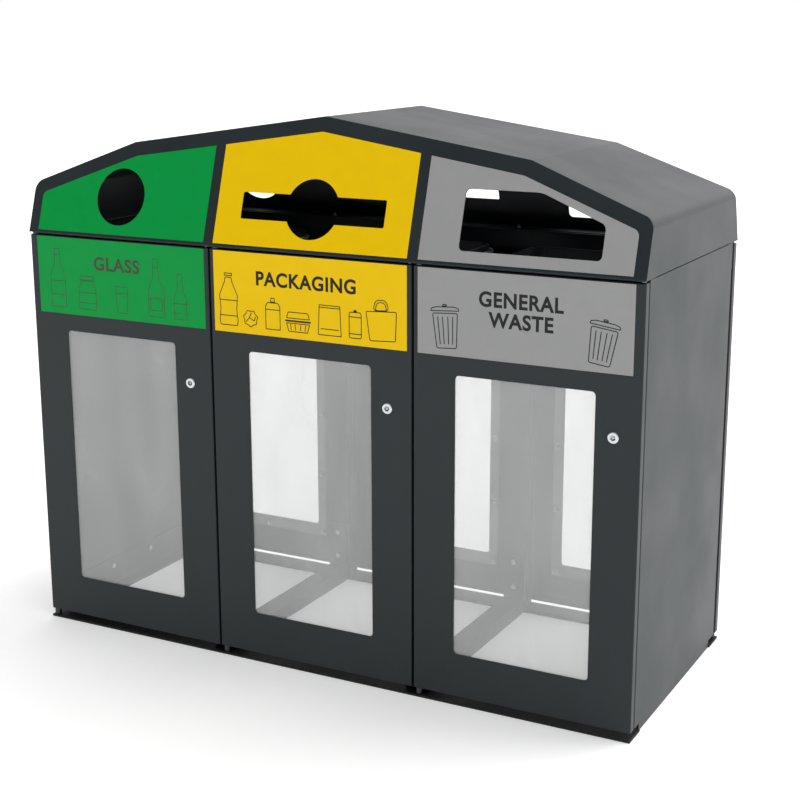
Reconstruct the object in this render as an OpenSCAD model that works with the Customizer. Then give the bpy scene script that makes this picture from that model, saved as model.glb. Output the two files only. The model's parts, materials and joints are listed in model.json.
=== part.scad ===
// Recycling bin station with three bays under one gabled hood.
// Millimetres. +Z is up, the door side faces -Y, and the origin is on the ground
// below the middle of the station.

/* [Station] */
// Distance between the middles of neighbouring bays
bay_pitch = 500; // [430:5:620]
// Depth from the face of the doors to the face of the rear panels
station_depth = 612; // [510:2:740]
// Height of the hood's bottom edge above the ground
body_height = 950; // [930:5:1150]
// Thickness of the folded steel sheet
sheet = 2; // [1.5:0.5:2.5]
// How far the side panels' faces lie in from the outer ends of the bays
side_inset = 4; // [3:0.5:8]
// Width of the folded edges that stiffen a side panel
side_fold_w = 26; // [20:1:30]

/* [Doors] */
// Gap between neighbouring doors
door_gap = 5; // [4.6:0.2:8]
// Depth of a door's folded edges
door_depth = 20; // [19:0.5:24]
// Gap between the back of a closed door and the frame behind it
door_standoff = 7; // [6:0.5:10]
// Height of a door's bottom edge above the ground
door_lift = 20; // [16:1:30]
// Gap between a door's top edge and the underside of the hood
door_top_gap = 5; // [4.5:0.5:8]
// Width of the lip that stiffens a door's upright edges
door_lip_w = 15; // [10:1:18]
// Distance from a door's left and front faces to its hinge line
hinge_inset = 10; // [9.8:0.1:10.2]
// Diameter of the hinge pins
hinge_pin_d = 10; // [8:0.5:10]
// Radial running clearance of every pin, plug and rod that turns
running_gap = 0.05; // [0.02:0.01:0.1]
// Height of the hinge bushes inside a door
bush_h = 12; // [8:1:20]

/* [Windows] */
// Width of a window opening
window_w = 304; // [240:2:330]
// Height of a window opening
window_h = 608; // [480:2:640]
// Height of a window's bottom edge above the door's bottom edge
window_lift = 97; // [60:1:110]
// Corner radius of a window opening
window_r = 9; // [4:1:20]
// How far the pane reaches past the window at each side
pane_side_lap = 25; // [20:1:30]
// How far the pane reaches past the window at top and bottom
pane_end_lap = 30; // [20:1:40]
// Thickness of the pane
pane_t = 4; // [3:0.5:5]
// Distance from the pane's edge to the middle of its studs
stud_inset = 9.5; // [8:0.5:12]
// Diameter of the studs that hold a pane
stud_d = 5; // [4:0.5:6]

/* [Locks] */
// Distance from the middle of a door to its lock
lock_x = 191; // [188:1:200]
// Height of a lock above the door's bottom edge
lock_lift = 617; // [300:1:700]
// Diameter of a lock's head
lock_head_d = 24; // [22:0.5:26]
// Diameter of the threaded lock barrel
lock_barrel_d = 19; // [16:0.5:20]
// Diameter of the plug that the key turns
lock_plug_d = 12; // [10:0.5:13]
// Reach of the cam from the middle of the lock
cam_reach = 45; // [42:1:50]
// Width of the cam
cam_w = 16; // [12:1:18]
// Thickness of the cam
cam_t = 3; // [2:0.5:4]

/* [Frame] */
// Width of the upright posts between the bays
post_w = 60; // [50:1:64]
// Depth of the upright posts
post_depth = 35; // [30:1:45]
// Wall of the upright posts
post_wall = 3; // [2:0.5:4]
// Height of the headers that tie the posts and side panels together
header_h = 62; // [50:1:70]
// Thickness of the base rails that stand on the ground
rail_t = 5; // [4:0.5:8]
// Width of the cross beams on the ground between the bays
beam_w = 50; // [40:1:56]
// Height of the cross beams
beam_h = 36; // [30:1:50]
// Wall of the cross beams
beam_wall = 3; // [2:0.5:4]
// Height of the plates that bolt the cross beams to the posts
upstand_top = 150; // [145:1:180]
// Thickness of those plates and of the side rails' upright legs
upstand_t = 4; // [3:0.5:6]
// Heights of the two bolts at the foot of each post
post_bolt_z = [66, 129];
// Height of the two bolts in each side rail
side_bolt_z = 57; // [50:1:65]
// Distance from the middle of the depth to a side rail's bolts
side_bolt_y = 78; // [40:1:160]
// Diameter of the holes for ground anchors
anchor_d = 12; // [10:1:14]
// Distance between ground anchors along the station
anchor_pitch_x = 1250; // [700:10:1250]
// Distance between ground anchors across the station
anchor_pitch_y = 530; // [530:1:536]

/* [Hood] */
// How far the hood's bottom edge stands out past the doors
hood_overhang = 3; // [3:0.5:10]
// How far the hood's sides stand out past the doors' outer edges
hood_side_overhang = 0.6; // [0:0.1:6]
// Height of the hood's upright side walls, up to the line where they meet the roof
hood_side_h = 111.8; // [90:0.1:140]
// Height of the bend in each half of the roof
hood_bend_h = 210.8; // [160:0.1:240]
// Height of the ridge
hood_ridge_h = 280.4; // [250:0.1:320]
// Distance from the ridge to the bend in each half of the roof
hood_bend_x = 481; // [400:1:560]
// Lean of the hood's front and rear faces, in degrees from upright
hood_lean = 17.2; // [10:0.1:20]
// Outer radius where the side walls turn into the roof
hood_corner_r = 27; // [15:1:40]
// Width of the flange along the feet of the hood's front and rear faces
hood_flange_w = 58; // [50:1:64]
// Width of the flanges where the hood's sides stand on the side panels
side_flange_w = 22; // [16:1:24]

/* [Openings] */
// Height of the openings' middle up the leaning hood face
opening_s = 94.5; // [90:0.5:100]
// Diameter of the round openings
opening_d = 130; // [110:1:150]
// Length of the slot across the middle bay's opening
slot_l = 350; // [200:2:380]
// Height of that slot
slot_h = 58.5; // [40:0.5:80]
// Corner radius of that slot
slot_r = 4; // [2:0.5:10]
// Width of the right bay's opening
chute_w = 304; // [240:2:330]
// Height of the right bay's opening at its taller side
chute_h = 126; // [100:1:130]
// Height of the right bay's opening at its lower side
chute_low_h = 70; // [50:1:90]
// Width of that opening's flat top
chute_top_w = 163; // [100:1:200]
// Corner radius of that opening
chute_r = 10; // [4:1:16]

/* [Labels] */
// Thickness of the printed label plates
label_t = 0.8; // [0.5:0.1:1.5]
// Height of a door label's bottom edge above the door's bottom edge
door_label_lift = 744.5; // [740:0.5:760]
// Gap from a door label to the door's top edge
door_label_top_gap = 2.3; // [2:0.1:10]
// Gap from a label to the door edge beside it
label_side_gap = 10; // [6:0.5:20]
// Gap from an outer door label to the station's end
door_label_end_gap = 20; // [10:0.5:30]
// Gap from an outer hood label to the station's end
hood_label_end_gap = 26.5; // [20:0.5:40]
// Gap from a hood label to the hood's bottom edge
hood_label_lift = 7.5; // [4:0.5:12]
// Gap from a hood label to the roof above it
hood_label_top_gap = 33; // [28:0.5:45]
// Corner radius at the outer top of an outer hood label
hood_label_r = 15; // [5:1:25]

/* [Bag holders] */
// Gap from the frame that a bag's rim is turned over to the posts beside it
bag_frame_side_gap = 20; // [18:1:40]
// Gap from that frame to the inner faces of the posts in front of it and behind it
bag_frame_end_gap = 34; // [32:1:60]
// Height of the frame's band
bag_band_h = 40; // [34:1:40]
// Thickness of the frame's band
bag_band_t = 3; // [2:0.5:4]
// Outer corner radius of the frame
bag_frame_r = 40; // [30:1:60]
// Distance from the middle of a frame to its arms
bag_arm_x = 120; // [100:1:150]
// Width of an arm
bag_arm_w = 30; // [24:1:40]
// Diameter of the clamp's rod
clamp_rod_d = 8; // [6:0.5:8]
// Room between the band and the clamp for the bag's rim
clamp_gap = 3; // [2:0.5:4]

/* [Hidden] */
$fn = 48;
LEFT = 0;
MIDDLE = 1;
RIGHT = 2;
BAYS = [LEFT, MIDDLE, RIGHT];
BAY_NAMES = ["left", "middle", "right"];
FRONT = 0;
REAR = 1;
SIDES = [-1, 1];

// The parts that each bay repeats, as the stems of their node names
DOOR_STEMS = ["door_panel", "door_pane", "door_pane_studs", "door_label",
              "door_hinge_bushes", "door_lock_body", "door_lock_cam"];
BAY_STEMS = ["rear_panel", "rear_pane", "bag_frame", "bag_clamp",
             "hood_label_front", "hood_label_rear"];
FRAME_NODES = ["base_rail_front", "base_rail_rear", "base_side_rails", "base_cross_beams",
               "post_front_left", "post_front_right", "post_rear_left", "post_rear_right",
               "header_front", "header_rear", "side_panel_left", "side_panel_right",
               "hood_roof", "hood_front_panel", "hood_rear_panel", "hinge_pins",
               "frame_bolts", "panel_bolts", "rear_panel_spacers", "rear_pane_studs",
               "hood_screws"];

steel = "#3a3e42";
zinc = "#b8bcc0";
black_plastic = "#1c1c1e";
clear_plastic = [0.8, 0.85, 0.88, 0.35];
label_colours = ["#0a8f40", "#e8c000", "#949494"];

// Clear room of a bolt in its hole, all round
bolt_room = 0.5;
// Gap kept where two pieces rest on each other but one of them moves
seat_gap = 0.3;
// Extra length of a cut past the surface it goes through
past = 1;

// Planes and edges of the body
face_y = station_depth / 2;
frame_y = face_y - door_depth - door_standoff;
side_x = 1.5 * bay_pitch - side_inset;
inner_x = side_x - sheet;
post_x = bay_pitch / 2;
post_inner_y = frame_y - post_depth;
post_top = body_height - header_h;
rail_out = 1;
lip_inset = 3;

// Doors and rear panels
door_w = bay_pitch - door_gap;
door_h = body_height - door_top_gap - door_lift;
door_top = door_lift + door_h;
hinge_x = -door_w / 2 + hinge_inset;
hinge_y = -face_y + hinge_inset;
bush_wall_r = hinge_inset - sheet - 0.2;
bush_spigot_r = hinge_pin_d / 2 + 1.5;
hinge_collar_r = 8;
rear_bolt_x = door_w / 2 - 12;
rear_bolt_y = face_y - door_depth / 2;

// Panes
pane_w = window_w + 2 * pane_side_lap;
pane_h = window_h + 2 * pane_end_lap;
window_mid_z = door_lift + window_lift + window_h / 2;
stud_x = pane_w / 2 - stud_inset;
stud_z = pane_h / 2 - stud_inset;
stud_rows = [-1, -0.5, 0, 0.5, 1];

// Lock
lock_z = door_lift + lock_lift;
lock_head_t = 2.8;
lock_nut_t = 6;
cam_front_y = -(frame_y - max(post_wall, sheet) - 0.7);
key_recess = 4;

// Bolts: nominal diameter, width across corners and height of the head
m8 = [8, 14.4, 5.3];
m6 = [6, 11, 4];
hood_screw = [6, 11, 2.2];
side_rail_w = 40;
side_leg_h = 75;

// Hood
hood_y = face_y + hood_overhang;
hood_x = 1.5 * bay_pitch - door_gap / 2 + hood_side_overhang;
low_slope = (hood_bend_h - hood_side_h) / (hood_x - hood_bend_x);
high_slope = (hood_ridge_h - hood_bend_h) / hood_bend_x;
hood_screw_x = door_w / 2 - hinge_inset;
hood_screw_front_y = -(face_y - 14);
hood_screw_rear_y = post_inner_y + 18;

// Bag holders
bag_frame_w = bay_pitch - post_w - 2 * bag_frame_side_gap;
bag_frame_depth = 2 * (post_inner_y - bag_frame_end_gap);
band_bottom = post_top + sheet - 10;
arm_z = post_top + sheet;
arm_end_y = post_inner_y + 26;
arm_bolt_y = post_inner_y + 16;
clamp_z = arm_z + 15;
clamp_off = clamp_gap + clamp_rod_d / 2;
eye_x = 60;
eye_w = 16;
eye_half = clamp_rod_d / 2 + 4;

// ---- helpers ----------------------------------------------------------

function bay_x(bay) = (bay - 1) * bay_pitch;

function unit(v) = v / norm(v);

// Points of a round corner of radius r at b, on the way from a to c
function corner_arc(a, b, c, r, steps) =
    let (u = unit(a - b), w = unit(c - b), half = acos(u * w) / 2)
    let (centre = b + unit(u + w) * r / sin(half), start = b + u * r / tan(half))
    let (finish = b + w * r / tan(half), from = start - centre, to = finish - centre)
    let (first = atan2(from.y, from.x), turn = atan2(to.y, to.x) - first)
    let (sweep = turn > 180 ? turn - 360 : turn < -180 ? turn + 360 : turn)
    [for (i = [0:steps]) centre + r * [cos(first + sweep * i / steps), sin(first + sweep * i / steps)]];

// An outline whose corners are rounded, each with its own radius; 0 leaves it sharp
function rounded(points, radii, steps = 8) =
    let (last = len(points) - 1)
    [for (i = [0:last]) each (radii[i] > 0
        ? corner_arc(points[i == 0 ? last : i - 1], points[i], points[i == last ? 0 : i + 1],
                     radii[i], steps)
        : [points[i]])];

module box(low, high) {
    translate(low)
        cube(high - low);
}

// A rectangle with true round corners, centred on the origin
module round_rect(w, h, r) {
    square([w, h - 2 * r], center = true);
    square([w - 2 * r, h], center = true);
    for (sx = SIDES, sy = SIDES)
        translate([sx * (w / 2 - r), sy * (h / 2 - r)])
            circle(r);
}

// A cylinder that starts at a point and runs along +Y
module rod_y(start, d, length, sides = $fn) {
    translate(start)
        rotate([-90, 0, 0])
            cylinder(d = d, h = length, $fn = sides);
}

// Holds its children facing the rear: the same shape mirrored across the depth
module on_side(side) {
    mirror([0, side == REAR ? 1 : 0, 0])
        children();
}

// A hex bolt along -Z: its head stands on z = 0 and its shank hangs below
module bolt(size, shank, nut_at = 0) {
    cylinder(d = size[1], h = size[2], $fn = 6);
    translate([0, 0, -shank])
        cylinder(d = size[0], h = shank);
    if (nut_at > 0)
        translate([0, 0, -nut_at - size[2]])
            cylinder(d = size[1], h = size[2], $fn = 6);
}

// ---- base -------------------------------------------------------------

// Places its children at the four corners of the ground anchor pattern
module at_anchors() {
    for (sx = SIDES, sy = SIDES)
        translate([sx * anchor_pitch_x / 2, sy * anchor_pitch_y / 2, 0])
            children();
}

module rear_bolt_holes(z, height) {
    for (bay = BAYS, sx = SIDES)
        translate([bay_x(bay) + sx * rear_bolt_x, rear_bolt_y, z])
            cylinder(d = m8[0] + 2 * bolt_room, h = height);
}

module base_rail_front() {
    color(steel)
        difference() {
            box([-side_x - rail_out, -face_y - rail_out, 0], [side_x + rail_out, -post_inner_y, rail_t]);
            at_anchors()
                translate([0, 0, -past])
                    cylinder(d = anchor_d, h = rail_t + 2 * past);
        }
}

module base_rail_rear() {
    color(steel)
        difference() {
            box([-side_x - rail_out, post_inner_y, 0], [side_x + rail_out, face_y + rail_out, rail_t]);
            at_anchors()
                translate([0, 0, -past])
                    cylinder(d = anchor_d, h = rail_t + 2 * past);
            rear_bolt_holes(-past, rail_t + 2 * past);
        }
}

// Angles along the ends of the base that the side panels bolt to
module base_side_rails() {
    color(steel)
        for (sx = SIDES)
            mirror([sx < 0 ? 1 : 0, 0, 0])
                difference() {
                    union() {
                        box([inner_x - side_rail_w, -post_inner_y, 0], [inner_x, post_inner_y, rail_t]);
                        box([inner_x - upstand_t, -post_inner_y, 0], [inner_x, post_inner_y, side_leg_h]);
                    }
                    for (sy = SIDES)
                        translate([inner_x - upstand_t - past, sy * side_bolt_y, side_bolt_z])
                            rotate([0, 90, 0])
                                cylinder(d = m8[0] + 2 * bolt_room, h = upstand_t + 2 * past);
                }
}

// Channels across the ground between the bays, with a plate up each end
module base_cross_beams() {
    color(steel)
        for (sx = SIDES)
            translate([sx * post_x, 0, 0])
                difference() {
                    union() {
                        box([-beam_w / 2, -post_inner_y, 0], [beam_w / 2, post_inner_y, beam_h]);
                        for (sy = SIDES)
                            translate([0, sy * (post_inner_y - upstand_t / 2), upstand_top / 2])
                                cube([beam_w, upstand_t, upstand_top], center = true);
                    }
                    box([-beam_w / 2 + beam_wall, -post_inner_y - past, -past],
                        [beam_w / 2 - beam_wall, post_inner_y + past, beam_h - beam_wall]);
                    for (z = post_bolt_z)
                        rod_y([0, -post_inner_y - past, z], m8[0] + 2 * bolt_room,
                              2 * post_inner_y + 2 * past);
                }
}

// ---- posts, headers and side panels ------------------------------------

// A tube from the base rail to the header. The slot takes the cam of the door to its left.
module post(sx, side, cam_slot) {
    color(steel)
        translate([sx * post_x, 0, 0])
            on_side(side)
                difference() {
                    box([-post_w / 2, -frame_y, rail_t], [post_w / 2, -post_inner_y, post_top]);
                    box([-post_w / 2 + post_wall, -frame_y + post_wall, rail_t - past],
                        [post_w / 2 - post_wall, -post_inner_y - post_wall, post_top + past]);
                    for (z = post_bolt_z)
                        rod_y([0, -post_inner_y - post_wall - past, z], m8[0] + 2 * bolt_room,
                              post_wall + 2 * past);
                    if (cam_slot)
                        box([-post_w / 2 - past, -frame_y + post_wall, lock_z - cam_w],
                            [-post_w / 2 + post_wall + past, cam_front_y + cam_t + 4,
                             lock_z + cam_reach + 10]);
                }
}

// A channel over the doors. Its lip reaches out under the hood's edge.
module header(side) {
    lip_y = -(face_y - lip_inset);
    color(steel)
        on_side(side)
            difference() {
                union() {
                    box([-inner_x, lip_y, body_height - sheet], [inner_x, -post_inner_y, body_height]);
                    box([-inner_x, -frame_y, post_top], [inner_x, -frame_y + sheet, body_height]);
                    box([-inner_x, -frame_y, post_top], [inner_x, -post_inner_y, post_top + sheet]);
                }
                for (bay = BAYS, sx = SIDES)
                    translate([bay_x(bay) + sx * bag_arm_x, -arm_bolt_y, post_top - past])
                        cylinder(d = m6[0] + 2 * bolt_room, h = sheet + 2 * past);
                for (bay = BAYS)
                    translate([bay_x(bay) + hood_screw_x, side == FRONT ? hood_screw_front_y
                               : -hood_screw_rear_y, body_height - sheet - past])
                        cylinder(d = hood_screw[0] + 2 * bolt_room, h = sheet + 2 * past);
                if (side == REAR)
                    for (bay = BAYS, sx = SIDES)
                        translate([bay_x(bay) + sx * rear_bolt_x, -rear_bolt_y,
                                   body_height - sheet - past])
                            cylinder(d = m8[0] + 2 * bolt_room, h = sheet + 2 * past);
            }
}

// A folded sheet that closes one end of the station
module side_panel(sx) {
    color(steel)
        mirror([sx < 0 ? 1 : 0, 0, 0]) {
            box([inner_x, -frame_y, door_lift], [side_x, frame_y, body_height]);
            for (side = [FRONT, REAR])
                on_side(side)
                    box([inner_x - side_fold_w, -frame_y, door_lift],
                        [inner_x, -frame_y + sheet, post_top]);
            box([inner_x - side_flange_w, -post_inner_y, body_height - sheet],
                [inner_x, post_inner_y, body_height]);
        }
}

// ---- doors and rear panels ---------------------------------------------

// The folded tray that a door and a rear panel share, facing -Y around x = 0
module tray() {
    difference() {
        box([-door_w / 2, -face_y, door_lift], [door_w / 2, -face_y + door_depth, door_top]);
        box([-door_w / 2 + sheet, -face_y + sheet, door_lift + sheet],
            [door_w / 2 - sheet, -face_y + door_depth + past, door_top - sheet]);
        translate([0, -face_y + sheet + past, window_mid_z])
            rotate([90, 0, 0])
                linear_extrude(sheet + 2 * past)
                    round_rect(window_w, window_h, window_r);
    }
    for (sx = SIDES)
        mirror([sx < 0 ? 1 : 0, 0, 0])
            box([door_w / 2 - sheet - door_lip_w, -face_y + door_depth - sheet, door_lift + sheet],
                [door_w / 2 - sheet, -face_y + door_depth, door_top - sheet]);
}

module door_panel(bay) {
    color(steel)
        translate([bay_x(bay), 0, 0])
            difference() {
                tray();
                for (z = [door_lift, door_top - sheet])
                    translate([hinge_x, hinge_y, z - past])
                        cylinder(r = bush_spigot_r + 0.1, h = sheet + 2 * past);
                rod_y([lock_x, -face_y - past, lock_z], lock_barrel_d + 0.4, sheet + 2 * past);
            }
}

module rear_panel(bay) {
    color(steel)
        translate([bay_x(bay), 0, 0])
            on_side(REAR)
                difference() {
                    tray();
                    for (sx = SIDES, z = [door_lift, door_top - sheet])
                        translate([sx * rear_bolt_x, -rear_bolt_y, z - past])
                            cylinder(d = m8[0] + 2 * bolt_room, h = sheet + 2 * past);
                }
}

// Places its children at each stud of a pane, in the plane of the door
module at_studs() {
    for (row = stud_rows, sx = SIDES)
        translate([sx * stud_x, 0, window_mid_z + row * stud_z])
            children();
    for (row = SIDES)
        translate([0, 0, window_mid_z + row * stud_z])
            children();
}

module pane(bay, side) {
    color(clear_plastic)
        translate([bay_x(bay), 0, 0])
            on_side(side)
                difference() {
                    box([-pane_w / 2, -face_y + sheet, window_mid_z - pane_h / 2],
                        [pane_w / 2, -face_y + sheet + pane_t, window_mid_z + pane_h / 2]);
                    at_studs()
                        rod_y([0, -face_y + sheet - past, 0], stud_d + 2 * bolt_room,
                              pane_t + 2 * past);
                }
}

// Welded studs through the pane's edge, each with a washer and a nut
module pane_studs(bay, side) {
    washer_d = 2.4 * stud_d;
    washer_t = 1;
    nut_d = 1.8 * stud_d;
    nut_t = 4;
    stud_l = pane_t + washer_t + nut_t + 2;
    color(zinc)
        translate([bay_x(bay), 0, 0])
            on_side(side)
                at_studs() {
                    rod_y([0, -face_y + sheet, 0], stud_d, stud_l);
                    rod_y([0, -face_y + sheet + pane_t, 0], washer_d, washer_t);
                    rod_y([0, -face_y + sheet + pane_t + washer_t, 0], nut_d, nut_t, 6);
                }
}

module rear_pane_studs() {
    for (bay = BAYS)
        pane_studs(bay, REAR);
}

module door_label(bay) {
    left_gap = bay == LEFT ? door_label_end_gap : label_side_gap;
    right_gap = bay == RIGHT ? door_label_end_gap : label_side_gap;
    color(label_colours[bay])
        translate([bay_x(bay), 0, 0])
            box([-door_w / 2 + left_gap, -face_y - label_t, door_lift + door_label_lift],
                [door_w / 2 - right_gap, -face_y, door_top - door_label_top_gap]);
}

// A flanged bush standing on z = 0, with its spigot through the sheet below
module hinge_bush() {
    difference() {
        union() {
            cylinder(r = bush_wall_r, h = bush_h);
            translate([0, 0, -sheet])
                cylinder(r = bush_spigot_r, h = sheet + past);
        }
        translate([0, 0, -sheet - past])
            cylinder(d = hinge_pin_d + 2 * running_gap, h = bush_h + sheet + 2 * past);
    }
}

module door_hinge_bushes(bay) {
    color(black_plastic)
        translate([bay_x(bay) + hinge_x, hinge_y, 0]) {
            translate([0, 0, door_lift + sheet])
                hinge_bush();
            translate([0, 0, door_top - sheet])
                mirror([0, 0, 1])
                    hinge_bush();
        }
}

module door_lock_body(bay) {
    barrel_end = cam_front_y - 0.5;
    color(zinc)
        translate([bay_x(bay) + lock_x, 0, lock_z]) {
            difference() {
                union() {
                    rod_y([0, -face_y - lock_head_t, 0], lock_head_d, lock_head_t);
                    rod_y([0, -face_y - past, 0], lock_barrel_d, barrel_end + face_y + past);
                }
                rod_y([0, -face_y - lock_head_t - past, 0], lock_plug_d + 2 * running_gap,
                      barrel_end + face_y + lock_head_t + 2 * past);
            }
            difference() {
                rod_y([0, -face_y + sheet, 0], lock_barrel_d + 6, lock_nut_t, 6);
                rod_y([0, -face_y + sheet - past, 0], lock_barrel_d + 0.2, lock_nut_t + 2 * past);
            }
        }
}

// The plug with its triangular key recess, and the cam that points up when unlocked
module door_lock_cam(bay) {
    plug_front = -face_y - lock_head_t + 0.4;
    color(zinc)
        translate([bay_x(bay) + lock_x, 0, lock_z]) {
            difference() {
                rod_y([0, plug_front, 0], lock_plug_d, cam_front_y - plug_front);
                rod_y([0, plug_front - past, 0], 0.7 * lock_plug_d, key_recess + past, 3);
            }
            rod_y([0, cam_front_y, 0], cam_w, cam_t);
            rod_y([0, cam_front_y, cam_reach - cam_w / 2], cam_w, cam_t);
            box([-cam_w / 2, cam_front_y, 0], [cam_w / 2, cam_front_y + cam_t, cam_reach - cam_w / 2]);
            rod_y([0, cam_front_y + cam_t, 0], 10, 3.5, 6);
        }
}

// Fixed pins that the doors turn on, each with a collar that carries or spaces the door
module hinge_pins() {
    pin_reach = sheet + bush_h;
    color(zinc)
        for (bay = BAYS)
            translate([bay_x(bay) + hinge_x, hinge_y, 0]) {
                translate([0, 0, rail_t]) {
                    cylinder(r = hinge_collar_r, h = door_lift - rail_t - seat_gap);
                    cylinder(d = hinge_pin_d, h = door_lift - rail_t + pin_reach);
                }
                translate([0, 0, door_top + seat_gap])
                    cylinder(r = hinge_collar_r, h = door_top_gap - sheet - seat_gap);
                translate([0, 0, door_top - pin_reach])
                    cylinder(d = hinge_pin_d, h = pin_reach + door_top_gap - sheet);
            }
}

// Tubes under the rear panels and washers over them
module rear_panel_spacers() {
    color(zinc)
        for (bay = BAYS, sx = SIDES, level = [[rail_t, door_lift], [door_top, body_height - sheet]])
            translate([bay_x(bay) + sx * rear_bolt_x, rear_bolt_y, level[0]])
                difference() {
                    cylinder(r = hinge_collar_r, h = level[1] - level[0]);
                    translate([0, 0, -past])
                        cylinder(d = m8[0] + 2 * bolt_room, h = level[1] - level[0] + 2 * past);
                }
}

// ---- bolts --------------------------------------------------------------

// M8 bolts at the feet of the posts, in the side rails and in the rear panels
module frame_bolts() {
    color(zinc) {
        for (sx = SIDES, side = [FRONT, REAR], z = post_bolt_z)
            translate([sx * post_x, 0, z])
                on_side(side)
                    translate([0, -post_inner_y + upstand_t, 0])
                        rotate([-90, 0, 0])
                            bolt(m8, upstand_t + post_wall + 5);
        for (sx = SIDES, sy = SIDES)
            mirror([sx < 0 ? 1 : 0, 0, 0])
                translate([inner_x - upstand_t, sy * side_bolt_y, side_bolt_z])
                    rotate([0, -90, 0])
                        bolt(m8, upstand_t);
        for (bay = BAYS, sx = SIDES)
            translate([bay_x(bay) + sx * rear_bolt_x, rear_bolt_y, 0]) {
                translate([0, 0, door_lift + sheet])
                    bolt(m8, door_lift + sheet - 1);
                translate([0, 0, door_top - sheet])
                    mirror([0, 0, 1])
                        bolt(m8, body_height - door_top + sheet - 0.5);
            }
    }
}

// M6 bolts and nuts that hold the bag frames' arms on the headers
module panel_bolts() {
    color(zinc)
        for (bay = BAYS, sx = SIDES, sy = SIDES)
            translate([bay_x(bay) + sx * bag_arm_x, sy * arm_bolt_y, arm_z + bag_band_t])
                bolt(m6, bag_band_t + sheet + m6[2] + 2, bag_band_t + sheet);
}

// Low-headed screws up through the headers into nuts on the hood's flange
module hood_screws() {
    color(zinc)
        for (bay = BAYS, y = [hood_screw_front_y, hood_screw_rear_y])
            translate([bay_x(bay) + hood_screw_x, y, body_height - sheet])
                mirror([0, 0, 1])
                    bolt(hood_screw, 2 * sheet + 7, 2 * sheet);
}

// ---- hood ---------------------------------------------------------------

// Height of the roof's outer surface above the hood's bottom edge
function roof_h(x) = abs(x) < hood_bend_x ? hood_ridge_h - high_slope * abs(x)
                                         : hood_side_h + low_slope * (hood_x - abs(x));

// Outline of the hood seen from the front, a given distance in from the outer surface
function hood_outline(inset) =
    let (low_drop = inset * sqrt(1 + low_slope * low_slope))
    let (high_drop = inset * sqrt(1 + high_slope * high_slope))
    let (bend = (hood_side_h + low_slope * hood_x - hood_ridge_h + high_drop - low_drop)
                / (low_slope - high_slope))
    let (bend_h = hood_ridge_h - high_drop - high_slope * bend)
    let (edge = hood_x - inset, edge_h = hood_side_h + low_slope * inset - low_drop)
    rounded([[edge, -past], [edge, edge_h], [bend, bend_h], [0, hood_ridge_h - high_drop],
             [-bend, bend_h], [-edge, edge_h], [-edge, -past]],
            [0, hood_corner_r - inset, 0, 0, 0, hood_corner_r - inset, 0]);

// A bar of that outline along the depth of the hood
module hood_bar(inset) {
    translate([0, 0, body_height])
        rotate([90, 0, 0])
            linear_extrude(2 * hood_y + 2 * past, center = true)
                polygon(hood_outline(inset));
}

// The wedge between the hood's leaning faces, moved in by a wall's thickness
module hood_wedge(inset, foot = 0) {
    top = hood_ridge_h + past;
    half_at_foot = hood_y - inset / cos(hood_lean) - foot * tan(hood_lean);
    half_at_top = hood_y - inset / cos(hood_lean) - top * tan(hood_lean);
    translate([0, 0, body_height])
        rotate([90, 0, 90])
            linear_extrude(2 * hood_x + 2 * past, center = true)
                polygon([[-half_at_foot, foot], [half_at_foot, foot], [half_at_top, top],
                         [-half_at_top, top]]);
}

// Lays a flat outline on the front face of the hood: x across, y up the slope
module on_hood_face() {
    translate([0, -hood_y, body_height])
        rotate([90 - hood_lean, 0, 0])
            children();
}

// Outlines of the three bays' openings
module opening_outline(bay) {
    chute_left = bay_x(RIGHT) - chute_w / 2 + 2;
    chute_foot = opening_s - chute_h / 2;
    if (bay == LEFT)
        translate([bay_x(LEFT), opening_s])
            circle(d = opening_d);
    if (bay == MIDDLE)
        translate([0, opening_s]) {
            circle(d = opening_d);
            round_rect(slot_l, slot_h, slot_r);
        }
    if (bay == RIGHT)
        polygon(rounded([[chute_left, chute_foot],
                         [chute_left + chute_w, chute_foot],
                         [chute_left + chute_w, chute_foot + chute_low_h],
                         [chute_left + chute_top_w, chute_foot + chute_h],
                         [chute_left, chute_foot + chute_h]],
                        [for (i = [0:4]) chute_r]));
}

module hood_face_panel(side) {
    flange_end = hood_y - hood_flange_w;
    color(steel)
        on_side(side)
            difference() {
                union() {
                    intersection() {
                        hood_bar(0);
                        difference() {
                            hood_wedge(0);
                            hood_wedge(sheet, -past);
                            box([-hood_x - 2 * past, 0, body_height - past],
                                [hood_x + 2 * past, 2 * hood_y, body_height + 2 * hood_ridge_h]);
                        }
                    }
                    box([-hood_x + sheet, -hood_y + sheet, body_height],
                        [hood_x - sheet, -flange_end, body_height + sheet]);
                }
                for (bay = BAYS) {
                    on_hood_face()
                        translate([0, 0, -sheet - past])
                            linear_extrude(sheet + 2 * past)
                                opening_outline(bay);
                    translate([bay_x(bay) + hood_screw_x, side == FRONT ? hood_screw_front_y
                               : -hood_screw_rear_y, body_height - past])
                        cylinder(d = hood_screw[0] + 2 * bolt_room, h = sheet + 2 * past);
                }
            }
}

// One sheet folded over the ridge, with upright sides and a flange along each foot
module hood_roof() {
    flange_y = hood_y - hood_flange_w;
    color(steel) {
        intersection() {
            difference() {
                hood_bar(0);
                hood_bar(sheet);
            }
            hood_wedge(sheet);
        }
        for (sx = SIDES)
            mirror([sx < 0 ? 1 : 0, 0, 0])
                box([hood_x - sheet - side_flange_w, -flange_y, body_height],
                    [hood_x - sheet, flange_y, body_height + sheet]);
    }
}

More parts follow.
